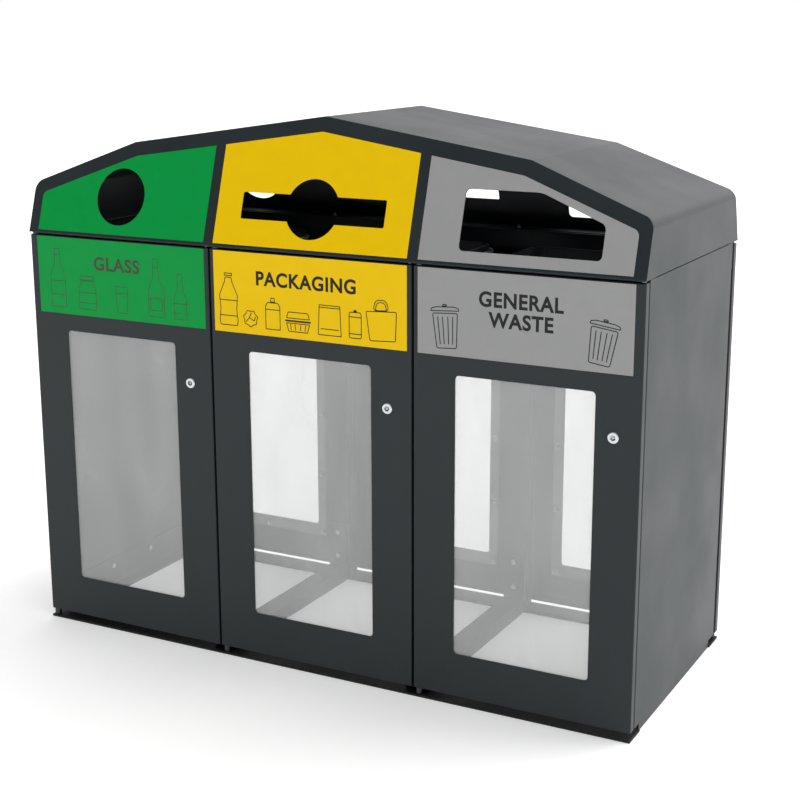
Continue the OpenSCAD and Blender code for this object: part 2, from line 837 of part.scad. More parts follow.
// A coloured plate that fills one bay's part of the hood face, cut out around its opening
module hood_label(bay, side) {
    low = bay == LEFT ? -hood_x + hood_label_end_gap
                      : bay_x(bay) - door_w / 2 + label_side_gap;
    high = bay == RIGHT ? hood_x - hood_label_end_gap
                        : bay_x(bay) + door_w / 2 - label_side_gap;
    bends = [for (x = [high, hood_bend_x - label_side_gap, 0, -hood_bend_x + label_side_gap, low])
             if (x <= high && x >= low) x];
    tops = [for (x = bends) [x, roof_h(x) / cos(hood_lean) - hood_label_top_gap]];
    radii = [for (x = bends) abs(x) > hood_bend_x ? hood_label_r : 0];
    color(label_colours[bay])
        on_side(side)
            on_hood_face()
                linear_extrude(label_t)
                    difference() {
                        polygon(rounded(concat([[low, hood_label_lift], [high, hood_label_lift]], tops),
                                        concat([0, 0], radii)));
                        opening_outline(bay);
                    }
}

// ---- bag holders ----------------------------------------------------------

// A band to turn the bag's rim over, carried by four arms on the headers
module bag_frame(bay) {
    half_y = bag_frame_depth / 2;
    pivot_y = half_y + clamp_off;
    color(steel)
        translate([bay_x(bay), 0, 0])
            difference() {
                union() {
                    translate([0, 0, band_bottom])
                        linear_extrude(bag_band_h)
                            difference() {
                                round_rect(bag_frame_w, bag_frame_depth, bag_frame_r);
                                round_rect(bag_frame_w - 2 * bag_band_t,
                                           bag_frame_depth - 2 * bag_band_t,
                                           bag_frame_r - bag_band_t);
                            }
                    for (sx = SIDES, sy = SIDES)
                        mirror([0, sy < 0 ? 1 : 0, 0])
                            translate([sx * bag_arm_x, 0, arm_z])
                                box([-bag_arm_w / 2, half_y - bag_band_t / 2, 0],
                                    [bag_arm_w / 2, arm_end_y, bag_band_t]);
                    for (sx = SIDES) {
                        box([sx * eye_x - eye_w / 2, half_y - bag_band_t / 2, clamp_z - eye_half],
                            [sx * eye_x + eye_w / 2, pivot_y + eye_half, clamp_z + eye_half]);
                        box([sx * eye_x - eye_w / 2, -pivot_y - clamp_rod_d / 2, clamp_z - eye_half],
                            [sx * eye_x + eye_w / 2, -half_y + bag_band_t / 2,
                             clamp_z - clamp_rod_d / 2 - seat_gap]);
                    }
                }
                for (sx = SIDES)
                    translate([sx * eye_x - eye_w / 2 - past, pivot_y, clamp_z])
                        rotate([0, 90, 0])
                            cylinder(d = clamp_rod_d + 2 * running_gap, h = eye_w + 2 * past);
                for (sx = SIDES, sy = SIDES)
                    translate([sx * bag_arm_x, sy * arm_bolt_y, arm_z - past])
                        cylinder(d = m6[0] + 2 * bolt_room, h = bag_band_t + 2 * past);
            }
}

// A closed loop of rod that traps the bag's rim; its rear run turns in the frame's eyes
module bag_clamp(bay) {
    half_x = bag_frame_w / 2 + clamp_off;
    half_y = bag_frame_depth / 2 + clamp_off;
    bend_r = bag_frame_r + clamp_off;
    tab_w = 40;
    tab_l = 20;
    color(zinc)
        translate([bay_x(bay), 0, clamp_z]) {
            for (sx = SIDES)
                translate([sx * half_x, -half_y + bend_r, 0])
                    rotate([-90, 0, 0])
                        cylinder(d = clamp_rod_d, h = 2 * (half_y - bend_r));
            for (sy = SIDES)
                translate([-half_x + bend_r, sy * half_y, 0])
                    rotate([0, 90, 0])
                        cylinder(d = clamp_rod_d, h = 2 * (half_x - bend_r));
            for (corner = [0:3]) {
                sx = corner == 0 || corner == 3 ? 1 : -1;
                sy = corner < 2 ? 1 : -1;
                translate([sx * (half_x - bend_r), sy * (half_y - bend_r), 0])
                    rotate([0, 0, 90 * corner])
                        rotate_extrude(angle = 90)
                            translate([bend_r, 0])
                                circle(d = clamp_rod_d);
            }
            box([-tab_w / 2, -half_y - tab_l, -bag_band_t / 2], [tab_w / 2, -half_y, bag_band_t / 2]);
        }
}

// ---- the parts ------------------------------------------------------------

base_rail_front();
base_rail_rear();
base_side_rails();
base_cross_beams();
post(-1, FRONT, true);  // post_front_left
post(1, FRONT, true);  // post_front_right
post(-1, REAR, false);  // post_rear_left
post(1, REAR, false);  // post_rear_right
header(FRONT);  // header_front
header(REAR);  // header_rear
side_panel(-1);  // side_panel_left
side_panel(1);  // side_panel_right
hood_roof();
hood_face_panel(FRONT);  // hood_front_panel
hood_face_panel(REAR);  // hood_rear_panel
hinge_pins();
frame_bolts();
panel_bolts();
rear_panel_spacers();
rear_pane_studs();
hood_screws();
for (bay = BAYS) {
    door_panel(bay);
    pane(bay, FRONT);
    pane_studs(bay, FRONT);
    door_label(bay);
    door_hinge_bushes(bay);
    door_lock_body(bay);
    door_lock_cam(bay);
    rear_panel(bay);
    pane(bay, REAR);
    bag_frame(bay);
    bag_clamp(bay);
    hood_label(bay, FRONT);
    hood_label(bay, REAR);
}
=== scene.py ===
"""Visual model of a three-bay recycling station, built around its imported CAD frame.

Each sub-assembly is a class that takes its place from the frame, models its own pieces with
Blender's operators and dresses them. Sizes are in metres unless a name says millimetres.
"""

import json
import logging
import math
from collections.abc import Callable, Iterator, Sequence
from contextlib import contextmanager
from dataclasses import dataclass, field
from enum import Enum

import bmesh
import bpy
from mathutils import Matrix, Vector

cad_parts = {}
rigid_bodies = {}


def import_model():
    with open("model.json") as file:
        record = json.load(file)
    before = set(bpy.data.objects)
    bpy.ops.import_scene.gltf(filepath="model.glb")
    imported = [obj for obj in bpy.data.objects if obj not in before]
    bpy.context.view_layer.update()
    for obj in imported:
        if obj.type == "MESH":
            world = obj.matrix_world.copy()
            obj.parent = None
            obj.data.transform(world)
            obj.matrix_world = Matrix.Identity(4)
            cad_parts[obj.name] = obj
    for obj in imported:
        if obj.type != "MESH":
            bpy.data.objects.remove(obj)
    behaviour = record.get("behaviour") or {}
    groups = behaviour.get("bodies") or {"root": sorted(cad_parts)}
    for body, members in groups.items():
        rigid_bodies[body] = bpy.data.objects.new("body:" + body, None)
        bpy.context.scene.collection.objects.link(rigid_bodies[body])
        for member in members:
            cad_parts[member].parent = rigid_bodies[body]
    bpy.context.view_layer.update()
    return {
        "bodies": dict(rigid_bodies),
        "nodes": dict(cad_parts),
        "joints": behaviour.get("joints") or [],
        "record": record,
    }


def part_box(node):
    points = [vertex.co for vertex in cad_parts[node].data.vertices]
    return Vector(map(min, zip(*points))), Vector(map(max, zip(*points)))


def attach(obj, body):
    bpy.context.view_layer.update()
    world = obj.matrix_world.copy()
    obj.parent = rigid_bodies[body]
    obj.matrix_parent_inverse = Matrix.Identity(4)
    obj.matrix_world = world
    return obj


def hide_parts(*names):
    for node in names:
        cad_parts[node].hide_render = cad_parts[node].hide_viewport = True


LOG = logging.getLogger("bin_station")
MM = 0.001
TOLERANCE = 0.02 * MM  # how far a corner may lie off a plane and still count as on it
ALONG_AXIS = 0.99  # least part of a unit direction that counts as along an axis
LEAST_FOLD = math.radians(3)  # least turn between two faces that counts as a fold
SHARP_CORNER = math.radians(35)  # least turn that break_edges() eases
SMOOTH_BELOW = math.radians(40)  # greatest turn that is shaded smooth
NOISE_RANGE = (0.3, 0.7)  # where nearly all values of a noise pattern lie
WHITE = (1.0, 1.0, 1.0, 1.0)

Point = tuple[float, float, float]
Flat = tuple[float, float]


class Pick(Enum):
    """What an edit-mode selection is made of."""

    VERT = "VERT"
    EDGE = "EDGE"
    FACE = "FACE"


class Facing(Enum):
    """The side of the station that a piece faces, as the sign of its outward Y."""

    FRONT = -1
    REAR = 1


class Bay(Enum):
    """The three bays, by the word that ends the names of their parts."""

    LEFT = "left"
    MIDDLE = "middle"
    RIGHT = "right"


class Slot(Enum):
    """The record's material slots."""

    STEEL = "powder_coated_steel"
    ZINC = "zinc_plated_steel"
    CHROME = "chrome_plate"
    GREEN = "green_label"
    YELLOW = "yellow_label"
    GREY = "grey_label"


# ---- modelling with Blender's operators -------------------------------------


def make_active(piece: bpy.types.Object) -> None:
    """Selects one object, alone, and makes it the active one."""
    bpy.ops.object.select_all(action="DESELECT")
    piece.select_set(True)
    bpy.context.view_layer.objects.active = piece


@contextmanager
def editing(piece: bpy.types.Object) -> Iterator[None]:
    """Opens a piece in edit mode for the length of a with block.

    Args:
        piece: the object to edit.
    """
    make_active(piece)
    bpy.ops.object.mode_set(mode="EDIT")
    yield
    bpy.ops.object.mode_set(mode="OBJECT")


def choose(piece: bpy.types.Object, kind: Pick, test: Callable[..., bool]) -> int:
    """Selects, in edit mode, only the elements that pass a test.

    Args:
        piece: the object being edited.
        kind: whether vertices, edges or faces are looked at.
        test: called with each bmesh element.

    Returns:
        How many elements were selected.
    """
    bpy.ops.mesh.select_mode(type=kind.value)
    bpy.ops.mesh.select_all(action="DESELECT")
    mesh = bmesh.from_edit_mesh(piece.data)
    elements = {Pick.VERT: mesh.verts, Pick.EDGE: mesh.edges, Pick.FACE: mesh.faces}[kind]
    found = [element for element in elements if test(element)]
    for element in found:
        element.select_set(True)
    bmesh.update_edit_mesh(piece.data)
    return len(found)


def level(value: float, axis: int) -> Callable[..., bool]:
    """A test that is true where every corner of an element has this coordinate.

    Args:
        value: the coordinate.
        axis: 0, 1 or 2 for X, Y or Z.

    Returns:
        The test, for choose().
    """
    return lambda element: all(abs(v.co[axis] - value) < TOLERANCE for v in element.verts)


def faces_along(axis: int, sign: int) -> Callable[..., bool]:
    """A test for faces whose normal points along one axis, in the sense of sign."""
    return lambda element: element.normal[axis] * sign > ALONG_AXIS


def is_fold(edge: bmesh.types.BMEdge) -> bool:
    """True where two faces meet at an edge with a turn between them."""
    return len(edge.link_faces) == 2 and edge.calc_face_angle(0.0) > LEAST_FOLD


def named(piece: bpy.types.Object, name: str) -> bpy.types.Object:
    """Names a piece and its mesh alike."""
    piece.name = name
    piece.data.name = name
    return piece


def settle(piece: bpy.types.Object) -> bpy.types.Object:
    """Moves a piece's place, turn and scale into its mesh."""
    make_active(piece)
    bpy.ops.object.transform_apply(location=True, rotation=True, scale=True)
    return piece


def block(name: str, low: Sequence[float], high: Sequence[float]) -> bpy.types.Object:
    """Adds a box between two corners.

    Args:
        name: what the piece is called.
        low: its lowest corner.
        high: its highest corner.

    Returns:
        The piece.
    """
    low, high = Vector(low), Vector(high)
    bpy.ops.object.select_all(action="DESELECT")
    bpy.ops.mesh.primitive_cube_add(size=1, location=(low + high) / 2)
    piece = named(bpy.context.active_object, name)
    piece.scale = high - low
    return settle(piece)


def panel(name: str, low: Flat, high: Flat) -> bpy.types.Object:
    """Adds a flat rectangle on the XY plane, facing +Z.

    Args:
        name: what the piece is called.
        low: its lower left corner.
        high: its upper right corner.

    Returns:
        The piece.
    """
    bpy.ops.object.select_all(action="DESELECT")
    (left, foot), (right, top) = low, high
    bpy.ops.mesh.primitive_plane_add(size=1, location=((left + right) / 2, (foot + top) / 2, 0))
    piece = named(bpy.context.active_object, name)
    piece.scale = (right - left, top - foot, 1)
    return settle(piece)


def drum(start: Point, radius: float, length: float, axis: int = 1, sides: int = 64) -> bpy.types.Object:
    """Adds a cylinder that starts at a point and runs along +Y, or along +Z where axis is 2.

    Args:
        start: the middle of its first end.
        radius: its radius.
        length: how far it runs.
        axis: 1 for +Y or 2 for +Z.
        sides: how many flats stand for its round side.

    Returns:
        The piece.
    """
    bpy.ops.object.select_all(action="DESELECT")
    middle = Vector(start)
    middle[axis] += length / 2
    turn = (math.radians(-90), 0, 0) if axis == 1 else (0, 0, 0)
    bpy.ops.mesh.primitive_cylinder_add(
        vertices=sides, radius=radius, depth=length, location=middle, rotation=turn
    )
    return settle(named(bpy.context.active_object, "drum"))


def sheet_face(
    name: str, low: Sequence[float], high: Sequence[float], axis: int, sign: int
) -> bpy.types.Object:
    """Adds one face of a box between two corners, pointing along an axis in the sense of sign.

    Args:
        name: what the piece is called.
        low: the box's lowest corner.
        high: its highest corner.
        axis: 0, 1 or 2 for the axis that the face points along.
        sign: 1 or -1.

    Returns:
        The face, as an open sheet.
    """
    piece = block(name, low, high)
    keep = faces_along(axis, sign)
    with editing(piece):
        choose(piece, Pick.FACE, lambda face: not keep(face))
        bpy.ops.mesh.delete(type="FACE")
    return piece


def bevel_edges(
    piece: bpy.types.Object, test: Callable[..., bool], radius: float, segments: int = 4
) -> None:
    """Rounds, in edit mode, the edges that pass a test."""
    if choose(piece, Pick.EDGE, test):
        bpy.ops.mesh.bevel(offset=radius, segments=segments, affect="EDGES", clamp_overlap=True)


def round_corners(piece: bpy.types.Object, test: Callable[..., bool], setback: float) -> None:
    """Rounds, in edit mode, the corners of a flat outline that pass a test."""
    if choose(piece, Pick.VERT, test):
        bpy.ops.mesh.bevel(offset=setback, segments=8, affect="VERTICES")


def face_outwards() -> None:
    """Turns all faces outwards, in edit mode."""
    bpy.ops.mesh.select_all(action="SELECT")
    bpy.ops.mesh.normals_make_consistent(inside=False)


def raise_flat(height: float) -> None:
    """Turns a flat piece into a solid of this height along +Z, in edit mode."""
    bpy.ops.mesh.select_all(action="SELECT")
    bpy.ops.mesh.extrude_region_move(TRANSFORM_OT_translate={"value": (0, 0, height)})
    face_outwards()


def draw_out(x: float = 0.0, y: float = 0.0, z: float = 0.0) -> None:
    """Draws new sheet out of the selected edges, in edit mode, by a move."""
    bpy.ops.mesh.extrude_edges_move(TRANSFORM_OT_translate={"value": (x, y, z)})


def score(point: Sequence[float], normal: Sequence[float]) -> None:
    """Adds a line of edges where a plane crosses the piece, in edit mode."""
    bpy.ops.mesh.select_all(action="SELECT")
    bpy.ops.mesh.bisect(plane_co=point, plane_no=normal)


def trim(piece: bpy.types.Object, point: Sequence[float], outward: Sequence[float]) -> None:
    """Cuts a piece along a plane and drops what lies on the outward side."""
    with editing(piece):
        bpy.ops.mesh.select_all(action="SELECT")
        bpy.ops.mesh.bisect(plane_co=point, plane_no=outward, clear_outer=True, use_fill=False)


def trim_line(piece: bpy.types.Object, left: Flat, right: Flat) -> None:
    """Cuts a flat piece along the line through two points and drops what lies above it.

    Args:
        piece: a flat piece on the XY plane.
        left: one point of the line.
        right: the other.
    """
    run = Vector(right) - Vector(left)
    if run.x < 0:
        run = -run
    trim(piece, (*left, 0), (-run.y, run.x, 0))


def mirror_depth(piece: bpy.types.Object) -> None:
    """Turns a piece made for the front into its mirror image at the rear.

    Args:
        piece: the piece, in its place at the front.
    """
    piece.scale.y = -1
    settle(piece)
    with editing(piece):
        face_outwards()


def modify(piece: bpy.types.Object, kind: str, **settings: object) -> None:
    """Adds one modifier with its settings and applies it.

    Args:
        piece: the object.
        kind: Blender's name for the modifier's type.
        **settings: its properties.
    """
    modifier = piece.modifiers.new(kind.title(), kind)
    for key, value in settings.items():
        setattr(modifier, key, value)
    make_active(piece)
    bpy.ops.object.modifier_apply(modifier=modifier.name)


def thicken(piece: bpy.types.Object, sheet: float) -> None:
    """Gives an open sheet its thickness, inwards from the faces that show."""
    modify(piece, "SOLIDIFY", thickness=sheet, offset=-1, use_even_offset=True, use_quality_normals=True)


def cut(piece: bpy.types.Object, cutters: Sequence[bpy.types.Object]) -> None:
    """Cuts shapes out of a piece and removes them."""
    for cutter in cutters:
        modify(piece, "BOOLEAN", operation="DIFFERENCE", solver="MANIFOLD", object=cutter)
        bpy.data.objects.remove(cutter)


def break_edges(piece: bpy.types.Object, width: float) -> None:
    """Takes the knife edge off every sharp corner of a finished solid."""
    modify(piece, "BEVEL", width=width, segments=2, limit_method="ANGLE", angle_limit=SHARP_CORNER,
           harden_normals=False)


def join(name: str, pieces: Sequence[bpy.types.Object]) -> bpy.types.Object:
    """Joins separate shells into one named piece.

    Args:
        name: what the piece is called.
        pieces: the shells, the first of which takes the rest in.

    Returns:
        The piece.
    """
    bpy.ops.object.select_all(action="DESELECT")
    for piece in pieces:
        piece.select_set(True)
    bpy.context.view_layer.objects.active = pieces[0]
    bpy.ops.object.join()
    return named(pieces[0], name)


def middle_of(node: str) -> Vector:
    """Finds the middle of a CAD node's box."""
    low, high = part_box(node)
    return (low + high) / 2


def rounded_bar(low: Point, high: Point, axis: int, radius: float) -> bpy.types.Object:
    """Adds a box whose edges along one axis are rounded.

    Args:
        low: its lowest corner.
        high: its highest corner.
        axis: 0, 1 or 2 for the axis that the rounded edges run along.
        radius: their radius.

    Returns:
        The bar.
    """
    bar = block("bar", low, high)

    def runs_along(edge: bmesh.types.BMEdge) -> bool:
        """True for the edges that lie along the chosen axis."""
        way = (edge.verts[0].co - edge.verts[1].co).normalized()
        return abs(way[axis]) > ALONG_AXIS

    with editing(bar):
        bevel_edges(bar, runs_along, radius, segments=8)
    return bar


# ---- finishes -----------------------------------------------------------------


def linear(colour: str) -> tuple[float, float, float, float]:
    """Turns an sRGB hex colour into Blender's linear RGBA."""
    parts = [int(colour[i : i + 2], 16) / 255 for i in (1, 3, 5)]
    red, green, blue = (c / 12.92 if c <= 0.04045 else ((c + 0.055) / 1.055) ** 2.4 for c in parts)
    return red, green, blue, 1.0


Settings = dict[str | int, object]
Links = dict[str | int, bpy.types.NodeSocket]


def add_node(tree: bpy.types.NodeTree, kind: str, settings: Settings, links: Links) -> bpy.types.Node:
    """Adds one shader node.

    Args:
        tree: the material's node tree.
        kind: the node's type name, without its ShaderNode prefix.
        settings: values for its properties, or for the inputs of that name or number.
        links: output sockets to link to the inputs of that name or number.

    Returns:
        The node.
    """
    return fill(tree, tree.nodes.new("ShaderNode" + kind), settings, links)


def fill(tree: bpy.types.NodeTree, node: bpy.types.Node, settings: Settings, links: Links) -> bpy.types.Node:
    """Sets a node's properties and inputs and links its inputs, as for add_node().

    Args:
        tree: the node tree.
        node: the node.
        settings: values for its properties or inputs.
        links: output sockets for its inputs.

    Returns:
        The node.
    """
    for key, value in settings.items():
        if isinstance(key, str) and hasattr(node, key):
            setattr(node, key, value)
        else:
            node.inputs[key].default_value = value
    for key, socket in links.items():
        tree.links.new(socket, node.inputs[key])
    return node


def blank(name: str) -> tuple[bpy.types.Material, bpy.types.NodeTree, bpy.types.Node, bpy.types.NodeSocket]:
    """Starts a material that holds only a Principled shader, and finds its Object coordinates.

    Args:
        name: what the material is called.

    Returns:
        The material, its tree, its shader and the socket of Object coordinates.
    """
    material = bpy.data.materials.new(name)
    material.use_nodes = True
    tree = material.node_tree
    shader = tree.nodes["Principled BSDF"]
    place = add_node(tree, "TexCoord", {}, {}).outputs["Object"]
    return material, tree, shader, place


def spread(
    tree: bpy.types.NodeTree, value: bpy.types.NodeSocket, low: float, high: float
) -> bpy.types.NodeSocket:
    """Maps a noise value from its usual range onto a range of its own."""
    ends = {"From Min": NOISE_RANGE[0], "From Max": NOISE_RANGE[1], "To Min": low, "To Max": high}
    return add_node(tree, "MapRange", ends, {"Value": value}).outputs["Result"]


@dataclass(frozen=True)
class PowderCoat:
    """Anthracite polyester powder coat, sprayed and stoved on steel sheet.

    The eye sees a satin surface with a fine orange-peel texture, slightly uneven gloss, and a
    breath of pale dust that has settled unevenly.
    """

    name: str = "powder_coated_steel"
    colour: str = "#1b2326"
    worn_colour: str = "#20282b"
    roughness: float = 0.42
    gloss_swing: Flat = (-0.04, 0.05)
    peel_mm: float = 2.2  # real orange peel is under 1 mm; drawn coarser so that it shows
    peel_depth_mm: float = 0.12
    peel_strength: float = 0.02
    cloud_mm: float = 160.0
    ior: float = 1.38

    def build(self) -> bpy.types.Material:
        """Makes the material.

        Returns:
            The material.
        """
        material, tree, shader, place = blank(self.name)
        cloud = add_node(
            tree, "TexNoise", {"Scale": 1 / (self.cloud_mm * MM), "Detail": 5.0}, {"Vector": place}
        )
        peel = add_node(
            tree, "TexNoise", {"Scale": 1 / (self.peel_mm * MM), "Detail": 2.0, "Roughness": 0.6},
            {"Vector": place},
        )
        tint = add_node(
            tree, "Mix", {"data_type": "RGBA", 6: linear(self.colour), 7: linear(self.worn_colour)},
            {0: spread(tree, cloud.outputs["Fac"], 0.0, 1.0)},
        )
        low, high = (self.roughness + swing for swing in self.gloss_swing)
        gloss = spread(tree, cloud.outputs["Fac"], low, high)
        bump = add_node(
            tree, "Bump", {"Strength": self.peel_strength, "Distance": self.peel_depth_mm * MM},
            {"Height": peel.outputs["Fac"]},
        )
        fill(tree, shader, {"IOR": self.ior},
             {"Base Color": tint.outputs[2], "Roughness": gloss, "Normal": bump.outputs["Normal"]})
        return material


@dataclass(frozen=True)
class PrintedLaminate:
    """Self-coloured vinyl film, screen printed and laminated, pressed onto a thin plate.

    The eye sees a clean flat colour under a soft satin film with a very slight ripple.
    """

    name: str
    colour: str
    shade: str
    most_shade: float = 0.6
    roughness: float = 0.42
    gloss_swing: Flat = (-0.03, 0.04)
    ripple_mm: float = 35.0
    ripple_depth_mm: float = 0.2
    ripple_strength: float = 0.08
    ior: float = 1.22

    def build(self) -> bpy.types.Material:
        """Makes the material.

        Returns:
            The material.
        """
        material, tree, shader, place = blank(self.name)
        ripple = add_node(
            tree, "TexNoise", {"Scale": 1 / (self.ripple_mm * MM), "Detail": 3.0}, {"Vector": place}
        )
        tint = add_node(
            tree, "Mix", {"data_type": "RGBA", 6: linear(self.colour), 7: linear(self.shade)},
            {0: spread(tree, ripple.outputs["Fac"], 0.0, self.most_shade)},
        )
        low, high = (self.roughness + swing for swing in self.gloss_swing)
        gloss = spread(tree, ripple.outputs["Fac"], low, high)
        bump = add_node(
            tree, "Bump", {"Strength": self.ripple_strength, "Distance": self.ripple_depth_mm * MM},
            {"Height": ripple.outputs["Fac"]},
        )
        fill(tree, shader, {"IOR": self.ior},
             {"Base Color": tint.outputs[2], "Roughness": gloss, "Normal": bump.outputs["Normal"]})
        return material


@dataclass(frozen=True)
class ScreenInk:
    """Matt screen-printing ink on the laminate, very slightly uneven in cover."""

    name: str
    colour: str
    thin_colour: str
    cover_mm: float = 6.0
    roughness: float = 0.6
    ior: float = 1.35

    def build(self) -> bpy.types.Material:
        """Makes the material.

        Returns:
            The material.
        """
        material, tree, shader, place = blank(self.name)
        cover = add_node(
            tree, "TexNoise", {"Scale": 1 / (self.cover_mm * MM), "Detail": 3.0}, {"Vector": place}
        )
        tint = add_node(
            tree, "Mix", {"data_type": "RGBA", 6: linear(self.colour), 7: linear(self.thin_colour)},
            {0: spread(tree, cover.outputs["Fac"], 0.0, 1.0)},
        )
        fill(tree, shader, {"Roughness": self.roughness, "IOR": self.ior}, {"Base Color": tint.outputs[2]})
        return material


@dataclass(frozen=True)
class HazedPolycarbonate:
    """Clear extruded polycarbonate sheet with a milky haze from cleaning and weather.

    The eye sees through it, with the inside veiled a little, and finds soft wiping marks.
    """

    name: str = "clear_polycarbonate"
    colour: str = "#f2f4f4"
    veil: Flat = (0.22, 0.28)  # how much of the view through it the haze hides
    roughness: Flat = (0.06, 0.14)
    wipe_mm: float = 90.0
    wipe_stretch: Point = (1.0, 1.0, 0.35)  # wiping marks run up and down
    ior: float = 1.58

    def build(self) -> bpy.types.Material:
        """Makes the material.

        Returns:
            The material.
        """
        material, tree, shader, place = blank(self.name)
        stretched = add_node(tree, "Mapping", {"Scale": self.wipe_stretch}, {"Vector": place})
        wipes = add_node(
            tree, "TexNoise", {"Scale": 1 / (self.wipe_mm * MM), "Detail": 4.0, "Distortion": 0.6},
            {"Vector": stretched.outputs["Vector"]},
        )
        gloss = spread(tree, wipes.outputs["Fac"], *self.roughness)
        veil = spread(tree, wipes.outputs["Fac"], *self.veil)
        fill(tree, shader, {"Base Color": linear(self.colour), "IOR": self.ior},
             {"Roughness": gloss, "Alpha": veil})
        return material


@dataclass(frozen=True)
class PlatedMetal:
    """Metal plate over turned or pressed steel: bright chrome, or duller zinc.

    The eye sees sharp or clouded reflections and fine marks from handling.
    """

    name: str
    colour: str
    roughness: float
    mark_mm: float
    gloss_range: Flat = (0.7, 1.4)  # shares of the roughness
    mark_depth_mm: float = 0.05
    mark_strength: float = 0.1

    def build(self) -> bpy.types.Material:
        """Makes the material.

        Returns:
            The material.
        """
        material, tree, shader, place = blank(self.name)
        marks = add_node(
            tree, "TexNoise", {"Scale": 1 / (self.mark_mm * MM), "Detail": 4.0}, {"Vector": place}
        )
        low, high = (self.roughness * share for share in self.gloss_range)
        gloss = spread(tree, marks.outputs["Fac"], low, high)
        bump = add_node(
            tree, "Bump", {"Strength": self.mark_strength, "Distance": self.mark_depth_mm * MM},
            {"Height": marks.outputs["Fac"]},
        )
        fill(tree, shader, {"Base Color": linear(self.colour), "Metallic": 1.0},
             {"Roughness": gloss, "Normal": bump.outputs["Normal"]})
        return material


@dataclass(frozen=True)
class MouldedNylon:
    """Injection-moulded nylon with a fine spark-eroded grain."""

    name: str = "black_nylon"
    colour: str = "#1b1b1d"
    roughness: Flat = (0.5, 0.65)
    grain_mm: float = 0.8
    grain_depth_mm: float = 0.08
    grain_strength: float = 0.25

    def build(self) -> bpy.types.Material:
        """Makes the material.

        Returns:
            The material.
        """
        material, tree, shader, place = blank(self.name)
        grain = add_node(
            tree, "TexNoise", {"Scale": 1 / (self.grain_mm * MM), "Detail": 2.0}, {"Vector": place}
        )
        gloss = spread(tree, grain.outputs["Fac"], *self.roughness)
        bump = add_node(
            tree, "Bump", {"Strength": self.grain_strength, "Distance": self.grain_depth_mm * MM},
            {"Height": grain.outputs["Fac"]},
        )
        fill(tree, shader, {"Base Color": linear(self.colour)},
             {"Roughness": gloss, "Normal": bump.outputs["Normal"]})
        return material


@dataclass
class Finishes:
    """Every material of the station, made once."""

    steel: bpy.types.Material = field(init=False)
    rail: bpy.types.Material = field(init=False)
    pane: bpy.types.Material = field(init=False)
    chrome: bpy.types.Material = field(init=False)
    zinc: bpy.types.Material = field(init=False)
    pin: bpy.types.Material = field(init=False)
    nylon: bpy.types.Material = field(init=False)
    laminate: dict[Bay, bpy.types.Material] = field(init=False)
    ink: dict[Bay, bpy.types.Material] = field(init=False)

    def __post_init__(self) -> None:
        """Builds the materials from their finishes."""
        self.steel = PowderCoat().build()
        # The base rails' near-black coat is partly their own dark colour and partly painted shade: it is made
        # darker to stand for the shadow under the doors.
        self.rail = PowderCoat("black_powder_coated_rail", "#0b0e10", "#101315", 0.6).build()
        self.pane = HazedPolycarbonate().build()
        self.chrome = PlatedMetal("chrome_plate", "#c4c7ca", 0.08, 4.0).build()
        self.zinc = PlatedMetal("zinc_plated_steel", "#b4b8bb", 0.34, 3.0).build()
        # Painted shade: this zinc plate is made dark to stand for the shade that the lower hinge pins sit in;
        # it also dresses the rear panel spacers.
        self.pin = PlatedMetal("black_passivated_zinc", "#4a4c4e", 0.38, 3.0).build()
        self.nylon = MouldedNylon().build()
        self.laminate = {
            Bay.LEFT: PrintedLaminate("green_laminate", "#009742", "#00923f").build(),
            Bay.MIDDLE: PrintedLaminate("yellow_laminate", "#f0c600", "#ebc100").build(),
            Bay.RIGHT: PrintedLaminate("grey_laminate", "#9b9b9b", "#969797").build(),
        }
        self.ink = {
            Bay.LEFT: ScreenInk("brown_ink", "#3a4a34", "#414f39").build(),
            Bay.MIDDLE: ScreenInk("black_ink", "#1c1b12", "#242218").build(),
            Bay.RIGHT: ScreenInk("charcoal_ink", "#17191b", "#1f2225").build(),
        }


def dress(
    piece: bpy.types.Object,
    material: bpy.types.Material,
    body: str,
    replaces: Sequence[str] = (),
) -> bpy.types.Object:
    """Finishes a piece: its shading, material, body and the CAD nodes it stands for.

    Args:
        piece: the finished mesh, in place.
        material: what it is made of.
        body: the CAD body it moves with.
        replaces: CAD nodes that it stands for.

    Returns:
        The piece.
    """
    settle(piece)
    bpy.ops.object.shade_smooth_by_angle(angle=SMOOTH_BELOW)
    modify(piece, "WEIGHTED_NORMAL", mode="FACE_AREA", weight=50, keep_sharp=True)
    piece.data.materials.clear()
    piece.data.materials.append(material)
    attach(piece, body)
    if replaces:
        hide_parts(*replaces)
    LOG.info("%s: %d faces on %s", piece.name, len(piece.data.polygons), body)
    return piece


# ---- printed labels ------------------------------------------------------------------


@dataclass(frozen=True)
class Line:
    """A straight printed line between two points, in millimetres."""

    start: Flat
    end: Flat


@dataclass(frozen=True)
class Shape:
    """A printed outline, given by its widths at rising heights, in millimetres."""

    rows: tuple[Flat, ...]
    middle: float = 0.0
    corner: float = 2.0


@dataclass(frozen=True)
class Ring:
    """A printed round outline with crumpled or smooth sides, in millimetres."""

    middle: Flat
    radius: float
    sides: int = 32
    crumple: float = 1.0


Stroke = Line | Shape | Ring


@dataclass(frozen=True)
class Icon:
    """A small line drawing that stands on the icons' common ground line."""

    place: float
    strokes: tuple[Stroke, ...]
    tilt: float = 0.0


def bin_icon(place: float, tilt: float) -> Icon:
    """A round waste bin with ribs, a domed lid and a knob.

    Args:
        place: how far right of the door's middle it stands, in millimetres.
        tilt: its turn, in degrees.

    Returns:
        The icon.
    """
    ribs = tuple(Line((x * 0.82, 9), (x, 66)) for x in (-17, -6, 6, 17))
    body = Shape(((0, 46), (74, 58)), corner=5)
    lid = Shape(((77, 66), (84, 62), (87, 40)), corner=2.5)
    return Icon(place, (body, lid, Shape(((87, 12), (92, 9)), corner=2), *ribs), tilt)


